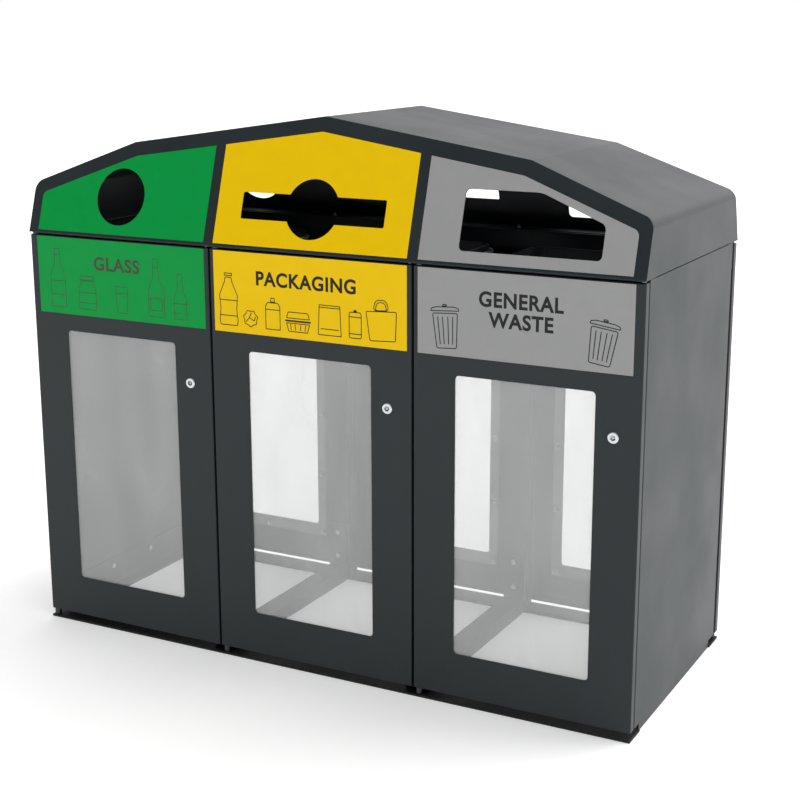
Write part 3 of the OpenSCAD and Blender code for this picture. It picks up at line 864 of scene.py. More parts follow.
GLASS_ICONS = (
    Icon(-172, (Shape(((0, 44), (74, 44), (102, 18), (127, 16), (137, 17)), corner=3.5),
                Line((-21, 30), (21, 30)), Line((-21, 62), (21, 62)), Line((-7, 122), (7, 122)))),
    Icon(-88, (Shape(((0, 50), (48, 50), (62, 36), (67, 36)), corner=2.4),
               Shape(((68, 41), (79, 41)), corner=2), Line((-24, 16), (24, 16)), Line((-24, 40), (24, 40)))),
    Icon(10, (Shape(((0, 30), (62, 37)), corner=3), Line((-17, 46), (17, 46)))),
    Icon(106, (Shape(((0, 45), (60, 45), (90, 17), (124, 15), (133, 17)), corner=3.5),
               Shape(((14, 33), (44, 33)), corner=2), Line((-7, 112), (7, 112)))),
    Icon(171, (Shape(((0, 36), (46, 36), (68, 16), (95, 14), (103, 15)), corner=2.6),
               Line((-17, 14), (17, 14)), Line((-17, 36), (17, 36)))),
)
PACKAGING_ICONS = (
    Icon(-200, (Shape(((0, 44), (9, 49), (38, 43), (66, 49), (98, 20), (107, 18)), corner=3.5),
                Shape(((109, 21), (116, 21)), corner=1.5), Line((-22, 56), (22, 56)),
                Line((-23, 22), (23, 22)))),
    Icon(-144, (Ring((0, 20), 20, sides=14, crumple=0.84), Line((-12, 12), (-3, 22)), Line((-3, 22), (9, 15)),
                Line((-3, 22), (2, 33)), Line((9, 15), (13, 25)))),
    Icon(-87, (Shape(((0, 38), (52, 38), (60, 26)), corner=2), Shape(((60, 12), (70, 10)), corner=1.5),
               Line((-19, 44), (19, 44)))),
    Icon(-24, (Shape(((0, 48), (20, 60)), corner=2), Shape(((22, 64), (26, 64)), corner=1.5),
               Shape(((29, 60), (44, 50)), corner=3), Line((-17, 4), (-19, 17)), Line((-6, 4), (-7, 17)),
               Line((6, 4), (7, 17)), Line((17, 4), (19, 17)))),
    Icon(54, (Shape(((0, 58), (66, 52)), corner=1.5), Line((-26, 60), (26, 60)), Line((-22, 14), (22, 14)))),
    Icon(116, (Shape(((0, 26), (4, 31), (52, 31), (57, 25)), corner=2), Line((-15, 10), (15, 10)),
               Line((-15, 46), (15, 46)), Shape(((57, 9), (61, 7)), corner=1.5))),
    Icon(181, (Shape(((0, 62), (64, 74)), corner=4), Shape(((64, 40), (88, 26)), corner=9),
               Shape(((64, 31), (83, 19)), corner=7)), 3),
)
WASTE_ICONS = (bin_icon(-171, 3.5), bin_icon(157, -8))


@dataclass(frozen=True)
class Print:
    """The words and icons of one door label, in millimetres from the middle of its door."""

    words: tuple[str, ...]
    word_middle: float
    widths: tuple[float, ...]
    icons: tuple[Icon, ...]
    line_pitch: float = 40.8
    line_width: float = 2.0


PRINTS = {
    Bay.LEFT: Print(("GLASS",), -2, (128,), GLASS_ICONS, line_width=1.6),
    Bay.MIDDLE: Print(("PACKAGING",), -5, (246,), PACKAGING_ICONS),
    Bay.RIGHT: Print(("GENERAL", "WASTE"), -9, (182, 140), WASTE_ICONS),
}


@dataclass
class DoorLabel:
    """A coloured plate on a door, with its printed word and line drawings."""

    bay: Bay
    finishes: Finishes
    corner_radius: float = 1.2 * MM
    edge_break: float = 0.15 * MM
    print_layer: float = 0.07 * MM
    cap_height: float = 32 * MM
    word_foot: float = 872.5 * MM
    icon_foot: float = 779 * MM
    embolden: float = 0.03
    letter_space: float = 1.08
    pitch: float = 500 * MM

    def __post_init__(self) -> None:
        """Finds the label's place from the frame."""
        self.low, self.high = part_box(f"door_label_{self.bay.value}")
        self.middle = (list(Bay).index(self.bay) - 1) * self.pitch
        self.line_width = PRINTS[self.bay].line_width * MM
        self.body = f"door_{self.bay.value}"

    def build(self) -> None:
        """Makes the plate and the print on it."""
        self.plate()
        self.artwork()

    def plate(self) -> bpy.types.Object:
        """Makes the plate, with its corners and edges eased.

        Returns:
            The plate.
        """
        plate = named(rounded_bar(self.low, self.high, 1, self.corner_radius),
                      f"label_door_{self.bay.value}")
        break_edges(plate, self.edge_break)
        return dress(plate, self.finishes.laminate[self.bay], self.body,
                     [f"door_label_{self.bay.value}"])

    def artwork(self) -> bpy.types.Object:
        """Prints the words and icons as one thin layer of ink.

        Returns:
            The layer of ink.
        """
        layout = PRINTS[self.bay]
        pieces = [self.draw(icon) for icon in layout.icons]
        for row, (word, width) in enumerate(zip(layout.words, layout.widths)):
            foot = self.word_foot - row * layout.line_pitch * MM
            pieces.append(self.word(word, layout.word_middle * MM, foot, width * MM))
        layer = join("print", pieces)
        with editing(layer):
            raise_flat(self.print_layer)
        layer.rotation_euler.x = math.pi / 2
        layer.location = (self.middle, self.low.y, 0)
        settle(layer)
        return dress(named(layer, f"print_door_{self.bay.value}"), self.finishes.ink[self.bay], self.body)

    def word(self, text: str, middle: float, foot: float, width: float) -> bpy.types.Object:
        """Sets one word in the built-in sans serif face, fitted to its width and height.

        Args:
            text: the word.
            middle: where its middle stands across the door.
            foot: the height of its foot.
            width: how wide it is.

        Returns:
            The word, as a flat mesh.
        """
        bpy.ops.object.select_all(action="DESELECT")
        bpy.ops.object.text_add()
        letters = bpy.context.active_object
        letters.data.body = text
        letters.data.offset = self.embolden
        letters.data.space_character = self.letter_space
        bpy.ops.object.convert(target="MESH")
        letters = bpy.context.active_object
        spots = [vert.co for vert in letters.data.vertices]
        left, right = min(s.x for s in spots), max(s.x for s in spots)
        low, high = min(s.y for s in spots), max(s.y for s in spots)
        letters.scale = (width / (right - left), self.cap_height / (high - low), 1)
        letters.location = (middle - (left + right) / 2 * letters.scale.x, foot - low * letters.scale.y, 0)
        return settle(letters)

    def draw(self, icon: Icon) -> bpy.types.Object:
        """Draws one icon flat, then tilts it and puts it on the ground line.

        Args:
            icon: what to draw.

        Returns:
            The drawing, as a flat mesh.
        """
        makers = {Line: self.line, Shape: self.shape, Ring: self.ring}
        drawing = join("icon", [makers[type(stroke)](stroke) for stroke in icon.strokes])
        drawing.rotation_euler.z = math.radians(icon.tilt)
        drawing.location = (icon.place * MM, self.icon_foot, 0)
        return settle(drawing)

    def line(self, stroke: Line) -> bpy.types.Object:
        """Makes a thin strip between two points.

        Args:
            stroke: its two ends.

        Returns:
            The strip.
        """
        start, end = Vector(stroke.start) * MM, Vector(stroke.end) * MM
        strip = panel("line", (-self.line_width / 2, 0), (self.line_width / 2, (end - start).length))
        strip.rotation_euler.z = math.atan2(start.x - end.x, end.y - start.y)
        strip.location = (start.x, start.y, 0)
        return settle(strip)

    def shape(self, stroke: Shape) -> bpy.types.Object:
        """Raises a silhouette row by row, rounds its corners and keeps its outline.

        Args:
            stroke: its rows, from the foot up.

        Returns:
            The outline.
        """
        (foot, width), *rows = stroke.rows
        top = rows[0][0]
        low = (stroke.middle - width / 2) * MM, foot * MM
        piece = panel("shape", low, (low[0] + width * MM, top * MM))
        reached, reached_width = top, width
        with editing(piece):
            choose(piece, Pick.EDGE, level(top * MM, 1))
            for height, next_width in rows:
                if height > reached:
                    draw_out(y=(height - reached) * MM)
                centre = (stroke.middle * MM, height * MM, 0)
                bpy.ops.transform.resize(value=(next_width / reached_width, 1, 1), center_override=centre)
                reached, reached_width = height, next_width
            bpy.ops.mesh.select_all(action="SELECT")
            bpy.ops.mesh.dissolve_limited(angle_limit=math.radians(1))
            round_corners(piece, lambda vert: True, stroke.corner * MM)
        return self.outlined(piece)

    def ring(self, stroke: Ring) -> bpy.types.Object:
        """Draws a round outline, every other corner pulled in where it is crumpled.

        Args:
            stroke: its middle, size and sides.

        Returns:
            The outline.
        """
        centre = (stroke.middle[0] * MM, stroke.middle[1] * MM, 0)
        bpy.ops.object.select_all(action="DESELECT")
        bpy.ops.mesh.primitive_circle_add(
            vertices=stroke.sides, radius=stroke.radius * MM, fill_type="NGON", location=centre
        )
        piece = settle(bpy.context.active_object)
        if stroke.crumple < 1:
            with editing(piece):
                choose(piece, Pick.VERT, lambda vert: vert.index % 2 == 0)
                bpy.ops.transform.resize(value=(stroke.crumple,) * 3, center_override=centre)
        return self.outlined(piece)

    def outlined(self, piece: bpy.types.Object) -> bpy.types.Object:
        """Turns a filled flat shape into a line round its edge.

        Args:
            piece: the flat shape.

        Returns:
            The same piece.
        """
        with editing(piece):
            bpy.ops.mesh.select_all(action="SELECT")
            bpy.ops.mesh.inset(thickness=self.line_width, use_even_offset=True)
            bpy.ops.mesh.delete(type="FACE")
        return piece


# ---- the hood ------------------------------------------------------------------


@dataclass
class HoodShape:
    """The sizes that the hood's roof, faces and labels share, in metres."""

    foot: float = 950 * MM
    side_height: float = 111.8 * MM
    bend_x: float = 481 * MM
    bend_height: float = 210.8 * MM
    ridge_height: float = 280.4 * MM
    lean: float = math.radians(17.2)
    corner_radius: float = 27 * MM
    flange_width: float = 58 * MM
    side_flange_width: float = 22 * MM
    sheet: float = 2 * MM
    fold: float = 2.6 * MM
    relief: float = 3 * MM
    bend_setback: float = 1.6 * MM

    def __post_init__(self) -> None:
        """Takes the half width and the half depth of the foot from the frame."""
        low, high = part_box("hood_front_panel")
        self.half_width = high.x
        self.half_depth = -low.y

    def height(self, x: float) -> float:
        """Height of the roof's outer surface above the foot, at a distance from the ridge.

        Args:
            x: the distance from the ridge, either way.

        Returns:
            The height.
        """
        x = abs(x)
        if x < self.bend_x:
            return self.ridge_height - (self.ridge_height - self.bend_height) * x / self.bend_x
        run = (self.half_width - x) / (self.half_width - self.bend_x)
        return self.side_height + (self.bend_height - self.side_height) * run

    def corner_setback(self) -> float:
        """How far before the eave the round corner starts, for its radius and turn."""
        slope = (self.bend_height - self.side_height) / (self.half_width - self.bend_x)
        turn = math.pi / 2 - math.atan(slope)
        return self.corner_radius * math.tan(turn / 2)

    def lean_back(self, piece: bpy.types.Object, facing: Facing) -> bpy.types.Object:
        """Stands a piece that was made flat on the hood's leaning face.

        Args:
            piece: made on the XY plane: X across the hood, Y up its slope, Z outwards.
            facing: the face of the hood that it goes to.

        Returns:
            The piece, in place.
        """
        piece.rotation_euler.x = math.pi / 2 - self.lean
        piece.location = (0, -self.half_depth, self.foot)
        settle(piece)
        if facing is Facing.REAR:
            mirror_depth(piece)
        return piece


@dataclass
class Openings:
    """The shapes that are cut through the hood's faces and labels, made flat."""

    middle: float = 94.5 * MM
    round_radius: float = 65 * MM
    slot_length: float = 350 * MM
    slot_height: float = 58.5 * MM
    slot_radius: float = 4 * MM
    chute_left: float = 350 * MM
    chute_width: float = 304 * MM
    chute_height: float = 126 * MM
    chute_low_height: float = 70 * MM
    chute_top_width: float = 163 * MM
    chute_radius: float = 10 * MM
    pitch: float = 500 * MM
    reach: float = 20 * MM

    def cutters(self, bay: Bay) -> list[bpy.types.Object]:
        """Makes the cutting solids of one bay's opening.

        Args:
            bay: the bay that the opening serves.

        Returns:
            The solids.
        """
        if bay is Bay.LEFT:
            return [self.round_hole(-self.pitch)]
        if bay is Bay.MIDDLE:
            return [self.slot(), self.round_hole(0)]
        return [self.chute()]

    def round_hole(self, x: float) -> bpy.types.Object:
        """A cylinder for bottles and cans."""
        return drum((x, self.middle, -self.reach), self.round_radius, 2 * self.reach, axis=2, sides=96)

    def slot(self) -> bpy.types.Object:
        """A flat slot for cartons."""
        half_length, half_height = self.slot_length / 2, self.slot_height / 2
        low = (-half_length, self.middle - half_height, -self.reach)
        return rounded_bar(low, (half_length, self.middle + half_height, self.reach), 2, self.slot_radius)

    def chute(self) -> bpy.types.Object:
        """A wide mouth whose top slopes down with the roof.

        Returns:
            The cutting solid.
        """
        foot = self.middle - self.chute_height / 2
        right, top = self.chute_left + self.chute_width, foot + self.chute_height
        piece = panel("chute", (self.chute_left, foot), (right, top))
        trim_line(piece, (self.chute_left + self.chute_top_width, top), (right, foot + self.chute_low_height))
        with editing(piece):
            bpy.ops.mesh.select_all(action="SELECT")
            bpy.ops.transform.translate(value=(0, 0, -self.reach))
            raise_flat(2 * self.reach)
            bevel_edges(piece, lambda edge: abs(edge.verts[0].co.z - edge.verts[1].co.z) > self.reach,
                        self.chute_radius, segments=8)
        return piece


@dataclass
class HoodRoof:
    """One sheet folded over the ridge, with upright sides and flanges to stand on."""

    shape: HoodShape
    finishes: Finishes
    edge_break: float = 0.3 * MM

    def build(self) -> bpy.types.Object:
        """Folds the sheet, cuts it to the leaning faces and dresses it.

        Returns:
            The finished roof.
        """
        shape = self.shape
        roof = self.fold_sheet()
        for facing in Facing:
            inner = shape.half_depth - shape.sheet / math.cos(shape.lean)
            trim(roof, (0, facing.value * inner, shape.foot),
                 (0, facing.value * math.cos(shape.lean), math.sin(shape.lean)))
        self.round_folds(roof)
        thicken(roof, shape.sheet)
        break_edges(roof, self.edge_break)
        return dress(named(roof, "hood_roof_sheet"), self.finishes.steel, "frame", ["hood_roof"])

    def fold_sheet(self) -> bpy.types.Object:
        """Draws the sheet from one foot over the ridge to the other, with its two flanges.

        Returns:
            The open sheet, with sharp bends.
        """
        shape = self.shape
        half, depth = shape.half_width, shape.half_depth
        flange_depth = depth - shape.flange_width
        roof = sheet_face("roof", (half - shape.sheet, -depth, shape.foot),
                          (half, depth, shape.foot + shape.side_height), 0, 1)
        stops = [(half, shape.side_height), (shape.bend_x, shape.bend_height), (0, shape.ridge_height),
                 (-shape.bend_x, shape.bend_height), (-half, shape.side_height), (-half, 0)]
        at_eave = level(shape.foot + shape.side_height, 2)
        with editing(roof):
            choose(roof, Pick.EDGE, at_eave)
            for (x, z), (next_x, next_z) in zip(stops, stops[1:]):
                draw_out(x=next_x - x, z=next_z - z)
            for facing in Facing:
                score((0, facing.value * flange_depth, 0), (0, 1, 0))
            at_foot = level(shape.foot, 2)
            for side in (1, -1):
                choose(roof, Pick.EDGE, lambda edge: at_foot(edge) and edge.verts[0].co.x * side > 0
                       and all(abs(v.co.y) < flange_depth + TOLERANCE for v in edge.verts))
                draw_out(x=-side * (shape.sheet + shape.side_flange_width))
        return roof

    def round_folds(self, roof: bpy.types.Object) -> None:
        """Rounds the eaves, and gives every other bend the radius of the press brake.

        Args:
            roof: the open sheet.
        """
        shape = self.shape
        at_eave = level(shape.foot + shape.side_height, 2)
        with editing(roof):
            bevel_edges(roof, at_eave, shape.corner_setback(), segments=10)
            bevel_edges(roof, lambda edge: is_fold(edge) and edge.verts[0].co.z < shape.foot + TOLERANCE,
                        shape.fold)
            bends = (shape.foot + shape.bend_height, shape.foot + shape.ridge_height)
            bevel_edges(roof, lambda edge: is_fold(edge) and any(level(z, 2)(edge) for z in bends),
                        shape.bend_setback)


@dataclass
class HoodFace:
    """A leaning face plate with the three deposit openings and a flange along its foot."""

    shape: HoodShape
    openings: Openings
    facing: Facing
    finishes: Finishes
    edge_break: float = 0.45 * MM

    def build(self) -> bpy.types.Object:
        """Models the plate flat, folds its flange, cuts its openings and stands it up.

        Returns:
            The finished face.
        """
        shape = self.shape
        plate = self.outline()
        self.fold_flange(plate)
        thicken(plate, shape.sheet)
        cut(plate, [cutter for bay in Bay for cutter in self.openings.cutters(bay)])
        break_edges(plate, self.edge_break)
        shape.lean_back(plate, self.facing)
        side = self.facing.name.lower()
        return dress(named(plate, f"hood_face_{side}"), self.finishes.steel, "frame",
                     [f"hood_{side}_panel"])

    def outline(self) -> bpy.types.Object:
        """Cuts a flat plate to the hood's outline and stretches it to its slope.

        Returns:
            The flat plate.
        """
        shape = self.shape
        half, bend = shape.half_width, shape.bend_x
        plate = panel("face", (-half, 0), (half, shape.ridge_height))
        for side in (1, -1):
            trim_line(plate, (0, shape.ridge_height), (side * bend, shape.bend_height))
            trim_line(plate, (side * bend, shape.bend_height), (side * half, shape.side_height))
        with editing(plate):
            round_corners(plate, lambda vert: abs(vert.co.y - shape.side_height) < TOLERANCE,
                          shape.corner_setback())
        plate.scale.y = 1 / math.cos(shape.lean)
        return settle(plate)

    def fold_flange(self, plate: bpy.types.Object) -> None:
        """Folds the foot of the plate back, level with the ground once it leans.

        Args:
            plate: the flat plate, which gets the flange.
        """
        shape = self.shape
        inside = shape.half_width - shape.sheet - shape.relief
        run = shape.flange_width
        with editing(plate):
            for side in (1, -1):
                score((side * inside, 0, 0), (1, 0, 0))
            choose(plate, Pick.EDGE, lambda edge: level(0, 1)(edge)
                   and all(abs(v.co.x) < inside + TOLERANCE for v in edge.verts))
            draw_out(y=run * math.sin(shape.lean), z=-run * math.cos(shape.lean))
            bevel_edges(plate, is_fold, shape.fold)


@dataclass
class HoodLabel:
    """A coloured plate that fills one bay's part of a hood face, cut out around its opening."""

    bay: Bay
    facing: Facing
    shape: HoodShape
    openings: Openings
    finishes: Finishes
    thickness: float = 0.8 * MM
    end_gap: float = 26.5 * MM
    side_gap: float = 10 * MM
    foot_gap: float = 7.5 * MM
    top_gap: float = 33 * MM
    corner_setback: float = 10.5 * MM
    door_width: float = 495 * MM
    edge_break: float = 0.15 * MM

    def build(self) -> bpy.types.Object:
        """Models the plate flat, cuts its opening and stands it on the hood face.

        Returns:
            The finished label.
        """
        middle = (list(Bay).index(self.bay) - 1) * self.openings.pitch
        half = self.door_width / 2 - self.side_gap
        end = self.shape.half_width - self.end_gap
        low = -end if self.bay is Bay.LEFT else middle - half
        high = end if self.bay is Bay.RIGHT else middle + half
        label = self.outline(low, high)
        thicken(label, self.thickness)
        cut(label, self.openings.cutters(self.bay))
        break_edges(label, self.edge_break)
        label.location.z = self.thickness
        settle(label)
        self.shape.lean_back(label, self.facing)
        side = self.facing.name.lower()
        return dress(named(label, f"label_hood_{side}_{self.bay.value}"), self.finishes.laminate[self.bay],
                     "frame", [f"hood_label_{side}_{self.bay.value}"])

    def outline(self, low: float, high: float) -> bpy.types.Object:
        """Cuts a flat plate parallel to the roof, with the outer top corner rounded.

        Args:
            low: the label's left end.
            high: its right end.

        Returns:
            The flat plate.
        """
        knee = self.shape.bend_x - self.side_gap
        stops = [x for x in (low, -knee, 0, knee, high) if low <= x <= high]
        tops = [(x, self.shape.height(x) / math.cos(self.shape.lean) - self.top_gap) for x in stops]
        label = panel("label", (low, self.foot_gap), (high, max(top for _, top in tops)))
        for left, right in zip(tops, tops[1:]):
            trim_line(label, left, right)
        with editing(label):
            outer = [top for top in tops if abs(top[0]) > self.shape.bend_x]
            round_corners(label,
                          lambda vert: any((vert.co.xy - Vector(top)).length < TOLERANCE for top in outer),
                          self.corner_setback)
        return label


# ---- doors and rear panels ------------------------------------------------------


@dataclass
class Leaf:
    """A folded steel tray with a window: a door at the front, a fixed panel at the rear."""

    bay: Bay
    facing: Facing
    finishes: Finishes
    sheet: float = 2 * MM
    fold_radius: float = 2.6 * MM
    lip_width: float = 15 * MM
    window_width: float = 304 * MM
    window_height: float = 608 * MM
    window_radius: float = 9 * MM
    keyhole_radius: float = 9.7 * MM
    bush_hole_radius: float = 6.6 * MM
    edge_break: float = 0.35 * MM

    def __post_init__(self) -> None:
        """Finds the leaf's place and its body from the frame."""
        front = self.facing is Facing.FRONT
        self.stem = "door" if front else "rear"
        self.body = f"door_{self.bay.value}" if front else "frame"
        self.node = f"{self.stem}_panel_{self.bay.value}"
        self.low, self.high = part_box(self.node)
        self.window_middle = middle_of(f"{self.stem}_pane_{self.bay.value}")
        self.face_y = self.low.y if front else self.high.y
        self.back_y = self.high.y if front else self.low.y

    def build(self) -> bpy.types.Object:
        """Models the tray, cuts its openings and dresses it.

        Returns:
            The finished leaf.
        """
        tray = self.fold_tray()
        cut(tray, self.cutters())
        break_edges(tray, self.edge_break)
        return dress(named(tray, f"{self.stem}_leaf_{self.bay.value}"), self.finishes.steel, self.body,
                     [self.node])

    def fold_tray(self) -> bpy.types.Object:
        """Folds the open tray with its two upright lips and gives it its thickness.

        Returns:
            The tray, without its openings.
        """
        tray = block("tray", self.low, self.high)
        inward = {self.low.x: self.lip_width, self.high.x: -self.lip_width}
        with editing(tray):
            choose(tray, Pick.FACE, faces_along(1, -self.facing.value))
            bpy.ops.mesh.delete(type="FACE")
            for side, reach in inward.items():
                at_back, at_side = level(self.back_y, 1), level(side, 0)
                choose(tray, Pick.EDGE, lambda edge: at_back(edge) and at_side(edge))
                draw_out(x=reach)
            bevel_edges(tray, is_fold, self.fold_radius)
        thicken(tray, self.sheet)
        return tray

    def cutters(self) -> list[bpy.types.Object]:
        """Makes the shapes of the window and, in a door, of its lock and hinge holes.

        Returns:
            The cutting solids.
        """
        reach = 3 * self.sheet
        middle = Vector((self.window_middle.x, self.face_y, self.window_middle.z))
        half = Vector((self.window_width / 2, reach, self.window_height / 2))
        window = rounded_bar(middle - half, middle + half, 1, self.window_radius)
        if self.facing is Facing.REAR:
            return [window]
        lock = middle_of(f"door_lock_body_{self.bay.value}")
        keyhole = drum((lock.x, self.face_y - reach, lock.z), self.keyhole_radius, 2 * reach)
        hinge = middle_of(f"door_hinge_bushes_{self.bay.value}")
        hinge_holes = [
            drum((hinge.x, hinge.y, z - reach / 2), self.bush_hole_radius, reach, axis=2, sides=32)
            for z in (self.low.z, self.high.z)
        ]
        return [window, keyhole, *hinge_holes]


# ---- locks -------------------------------------------------------------------------


@dataclass
class Lock:
    """A quarter-turn cam lock: a chromed head and barrel in the door, and the plug with its cam."""

    bay: Bay
    finishes: Finishes
    head_radius: float = 12 * MM
    head_depth: float = 2.8 * MM
    head_dome: float = 2.2 * MM
    barrel_radius: float = 9.5 * MM
    plug_radius: float = 6 * MM
    nut_radius: float = 12.5 * MM
    nut_depth: float = 6 * MM
    nut_edge: float = 0.6 * MM
    plug_clearance: float = 0.05 * MM
    nut_clearance: float = 0.1 * MM
    seat: float = 0.4 * MM  # how far the barrel runs into the head, and the stud starts inside the plug
    thread_pitch: float = 1.5 * MM
    thread_waist: float = 0.95  # a groove's share of the barrel's radius
    skin: float = 2 * MM
    key_depth: float = 8 * MM
    pocket_wall: float = 0.5 * MM
    stud_radius: float = 3.1 * MM
    small_edge: float = 0.3 * MM
    cam_width: float = 16 * MM
    cam_depth: float = 3 * MM
    cam_reach: float = 45 * MM
    cam_edge: float = 0.4 * MM
    screw_radius: float = 5 * MM
    screw_depth: float = 3.5 * MM
    screw_edge: float = 0.5 * MM

    def __post_init__(self) -> None:
        """Finds the lock's axis and depths from the frame."""
        low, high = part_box(f"door_lock_body_{self.bay.value}")
        self.x, self.z = (low.x + high.x) / 2, (low.z + high.z) / 2
        self.front, self.back = low.y, high.y
        self.cam_low, self.cam_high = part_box(f"door_lock_cam_{self.bay.value}")

    def build(self) -> None:
        """Makes the fixed body and the turning cam."""
        self.body()
        self.cam()

    def axis_drum(self, start: float, end: float, radius: float, sides: int = 64) -> bpy.types.Object:
        """Adds a cylinder on the lock's axis between two depths."""
        return drum((self.x, start, self.z), radius, end - start, sides=sides)

    def body(self) -> bpy.types.Object:
        """Makes the domed head, the barrel with its thread and the nut behind the skin.

        Returns:
            The finished body.
        """
        face = self.front + self.head_depth
        head = self.axis_drum(self.front, face, self.head_radius)
        with editing(head):
            bevel_edges(head, level(self.front, 1), self.head_dome, segments=8)
        barrel = self.axis_drum(face - self.seat, self.back, self.barrel_radius)
        self.thread(barrel)
        nut = self.axis_drum(face + self.skin, face + self.skin + self.nut_depth, self.nut_radius, sides=6)
        break_edges(nut, self.nut_edge)
        bore = self.plug_radius + self.plug_clearance
        for solid, hole in ((head, bore), (barrel, bore), (nut, self.barrel_radius + self.nut_clearance)):
            cut(solid, [self.axis_drum(self.front - MM, self.back + MM, hole)])
        body = join("lock", [head, barrel, nut])
        return dress(named(body, f"lock_body_{self.bay.value}"), self.finishes.chrome,
                     f"door_{self.bay.value}", [f"door_lock_body_{self.bay.value}"])

    def thread(self, barrel: bpy.types.Object) -> None:
        """Cuts a row of shallow grooves that read as the barrel's thread.

        Args:
            barrel: the plain barrel, which gets the grooves.
        """
        start, pitch = self.front + self.head_depth + self.skin, self.thread_pitch
        with editing(barrel):
            count = int((self.back - start) / pitch)
            for turn in range(2 * count):
                score((0, start + turn * pitch / 2, 0), (0, 1, 0))
            roots = [start + (2 * turn + 1) * pitch / 2 for turn in range(count)]
            choose(barrel, Pick.EDGE, lambda edge: any(level(root, 1)(edge) for root in roots))
            bpy.ops.transform.resize(value=(self.thread_waist, 1, self.thread_waist),
                                     center_override=(self.x, 0, self.z))

    def cam(self) -> bpy.types.Object:
        """Makes the plug with its pocket and three-sided key stud, the cam lever and its screw.

        Returns:
            The finished plug and cam.
        """
        plug_front = self.cam_low.y
        cam_front = self.cam_high.y - self.screw_depth - self.cam_depth
        plug = self.axis_drum(plug_front, cam_front, self.plug_radius)
        with editing(plug):
            bevel_edges(plug, level(plug_front, 1), self.small_edge, segments=3)
        pocket_end = plug_front + self.key_depth
        cut(plug, [self.axis_drum(plug_front - MM, pocket_end, self.plug_radius - self.pocket_wall)])
        stud = self.axis_drum(plug_front + self.seat, pocket_end, self.stud_radius, sides=3)
        break_edges(stud, self.small_edge)
        half = self.cam_width / 2
        lever = rounded_bar(
            (self.x - half, cam_front, self.z - half),
            (self.x + half, cam_front + self.cam_depth, self.z + self.cam_reach), 1, half * 0.98,
        )
        break_edges(lever, self.cam_edge)
        screw = self.axis_drum(cam_front + self.cam_depth, self.cam_high.y, self.screw_radius, sides=6)
        break_edges(screw, self.screw_edge)
        cam = join("cam", [plug, stud, lever, screw])
        return dress(named(cam, f"lock_cam_piece_{self.bay.value}"), self.finishes.chrome,
                     f"lock_cam_{self.bay.value}", [f"door_lock_cam_{self.bay.value}"])


# ---- the frame ----------------------------------------------------------------------


@dataclass
class SidePanel:
    """A folded sheet that closes one end of the station."""

    side: int
    finishes: Finishes
    sheet: float = 2 * MM
    fold_width: float = 26 * MM
    flange_width: float = 22 * MM
    fold_top: float = 888 * MM
    flange_half: float = 244 * MM
    fold_radius: float = 2.6 * MM
    edge_break: float = 0.3 * MM
    hood_joint: float = 1.6 * MM  # the open joint that shows as a dark line under the hood

    def build(self) -> bpy.types.Object:
        """Folds the sheet's two upright edges and its top flange, and dresses it.

        Returns:
            The finished panel.
        """
        node = "side_panel_right" if self.side > 0 else "side_panel_left"
        low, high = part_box(node)
        high.z -= self.hood_joint
        outer = high.x if self.side > 0 else low.x
        left, right = sorted((outer, outer - self.side * self.sheet))
        wall = sheet_face("wall", (left, low.y, low.z), (right, high.y, high.z), 0, self.side)
        with editing(wall):
            score((0, 0, self.fold_top), (0, 0, 1))
            for end in (1, -1):
                score((0, end * self.flange_half, 0), (0, 1, 0))
            for edge_y in (low.y, high.y):
                self.fold(wall, self.fold_width, lambda edge: level(edge_y, 1)(edge)
                          and max(v.co.z for v in edge.verts) < self.fold_top + TOLERANCE)
            self.fold(wall, self.flange_width, lambda edge: level(high.z, 2)(edge)
                      and max(abs(v.co.y) for v in edge.verts) < self.flange_half + TOLERANCE)
            bevel_edges(wall, is_fold, self.fold_radius)
        thicken(wall, self.sheet)
        break_edges(wall, self.edge_break)
        return dress(named(wall, node.replace("panel", "sheet")), self.finishes.steel, "frame",
                     [node])

    def fold(self, wall: bpy.types.Object, width: float, test: Callable[..., bool]) -> None:
        """Folds the edges that pass a test inwards by a width."""
        choose(wall, Pick.EDGE, test)
        draw_out(x=-self.side * (self.sheet + width))


@dataclass(frozen=True)
class Softened:
    """A part whose CAD shape is right, remade with the edges that rolling or folding leaves."""

    node: str
    width: float
    slot: Slot = Slot.STEEL
    segments: int = 3
    doubles: float = 0.01 * MM
    least_turn: float = math.radians(0.5)
    sharp_corner: float = math.radians(40)

    def build(self, frame: dict, material: bpy.types.Material) -> bpy.types.Object:
        """Copies the node's mesh, merges it, rounds its edges and dresses it.

        Args:
            material: what the part is made of.

        Returns:
            The piece.
        """
        source = frame["nodes"][self.node]
        piece = bpy.data.objects.new("softened", source.data.copy())
        bpy.context.scene.collection.objects.link(piece)
        with editing(piece):
            bpy.ops.mesh.select_all(action="SELECT")
            bpy.ops.mesh.remove_doubles(threshold=self.doubles)
            bpy.ops.mesh.dissolve_limited(angle_limit=self.least_turn)
        modify(piece, "BEVEL", width=self.width, segments=self.segments, limit_method="ANGLE",
               angle_limit=self.sharp_corner, harden_normals=False)
        return dress(named(piece, f"{self.node}_made"), material, "frame", [self.node])


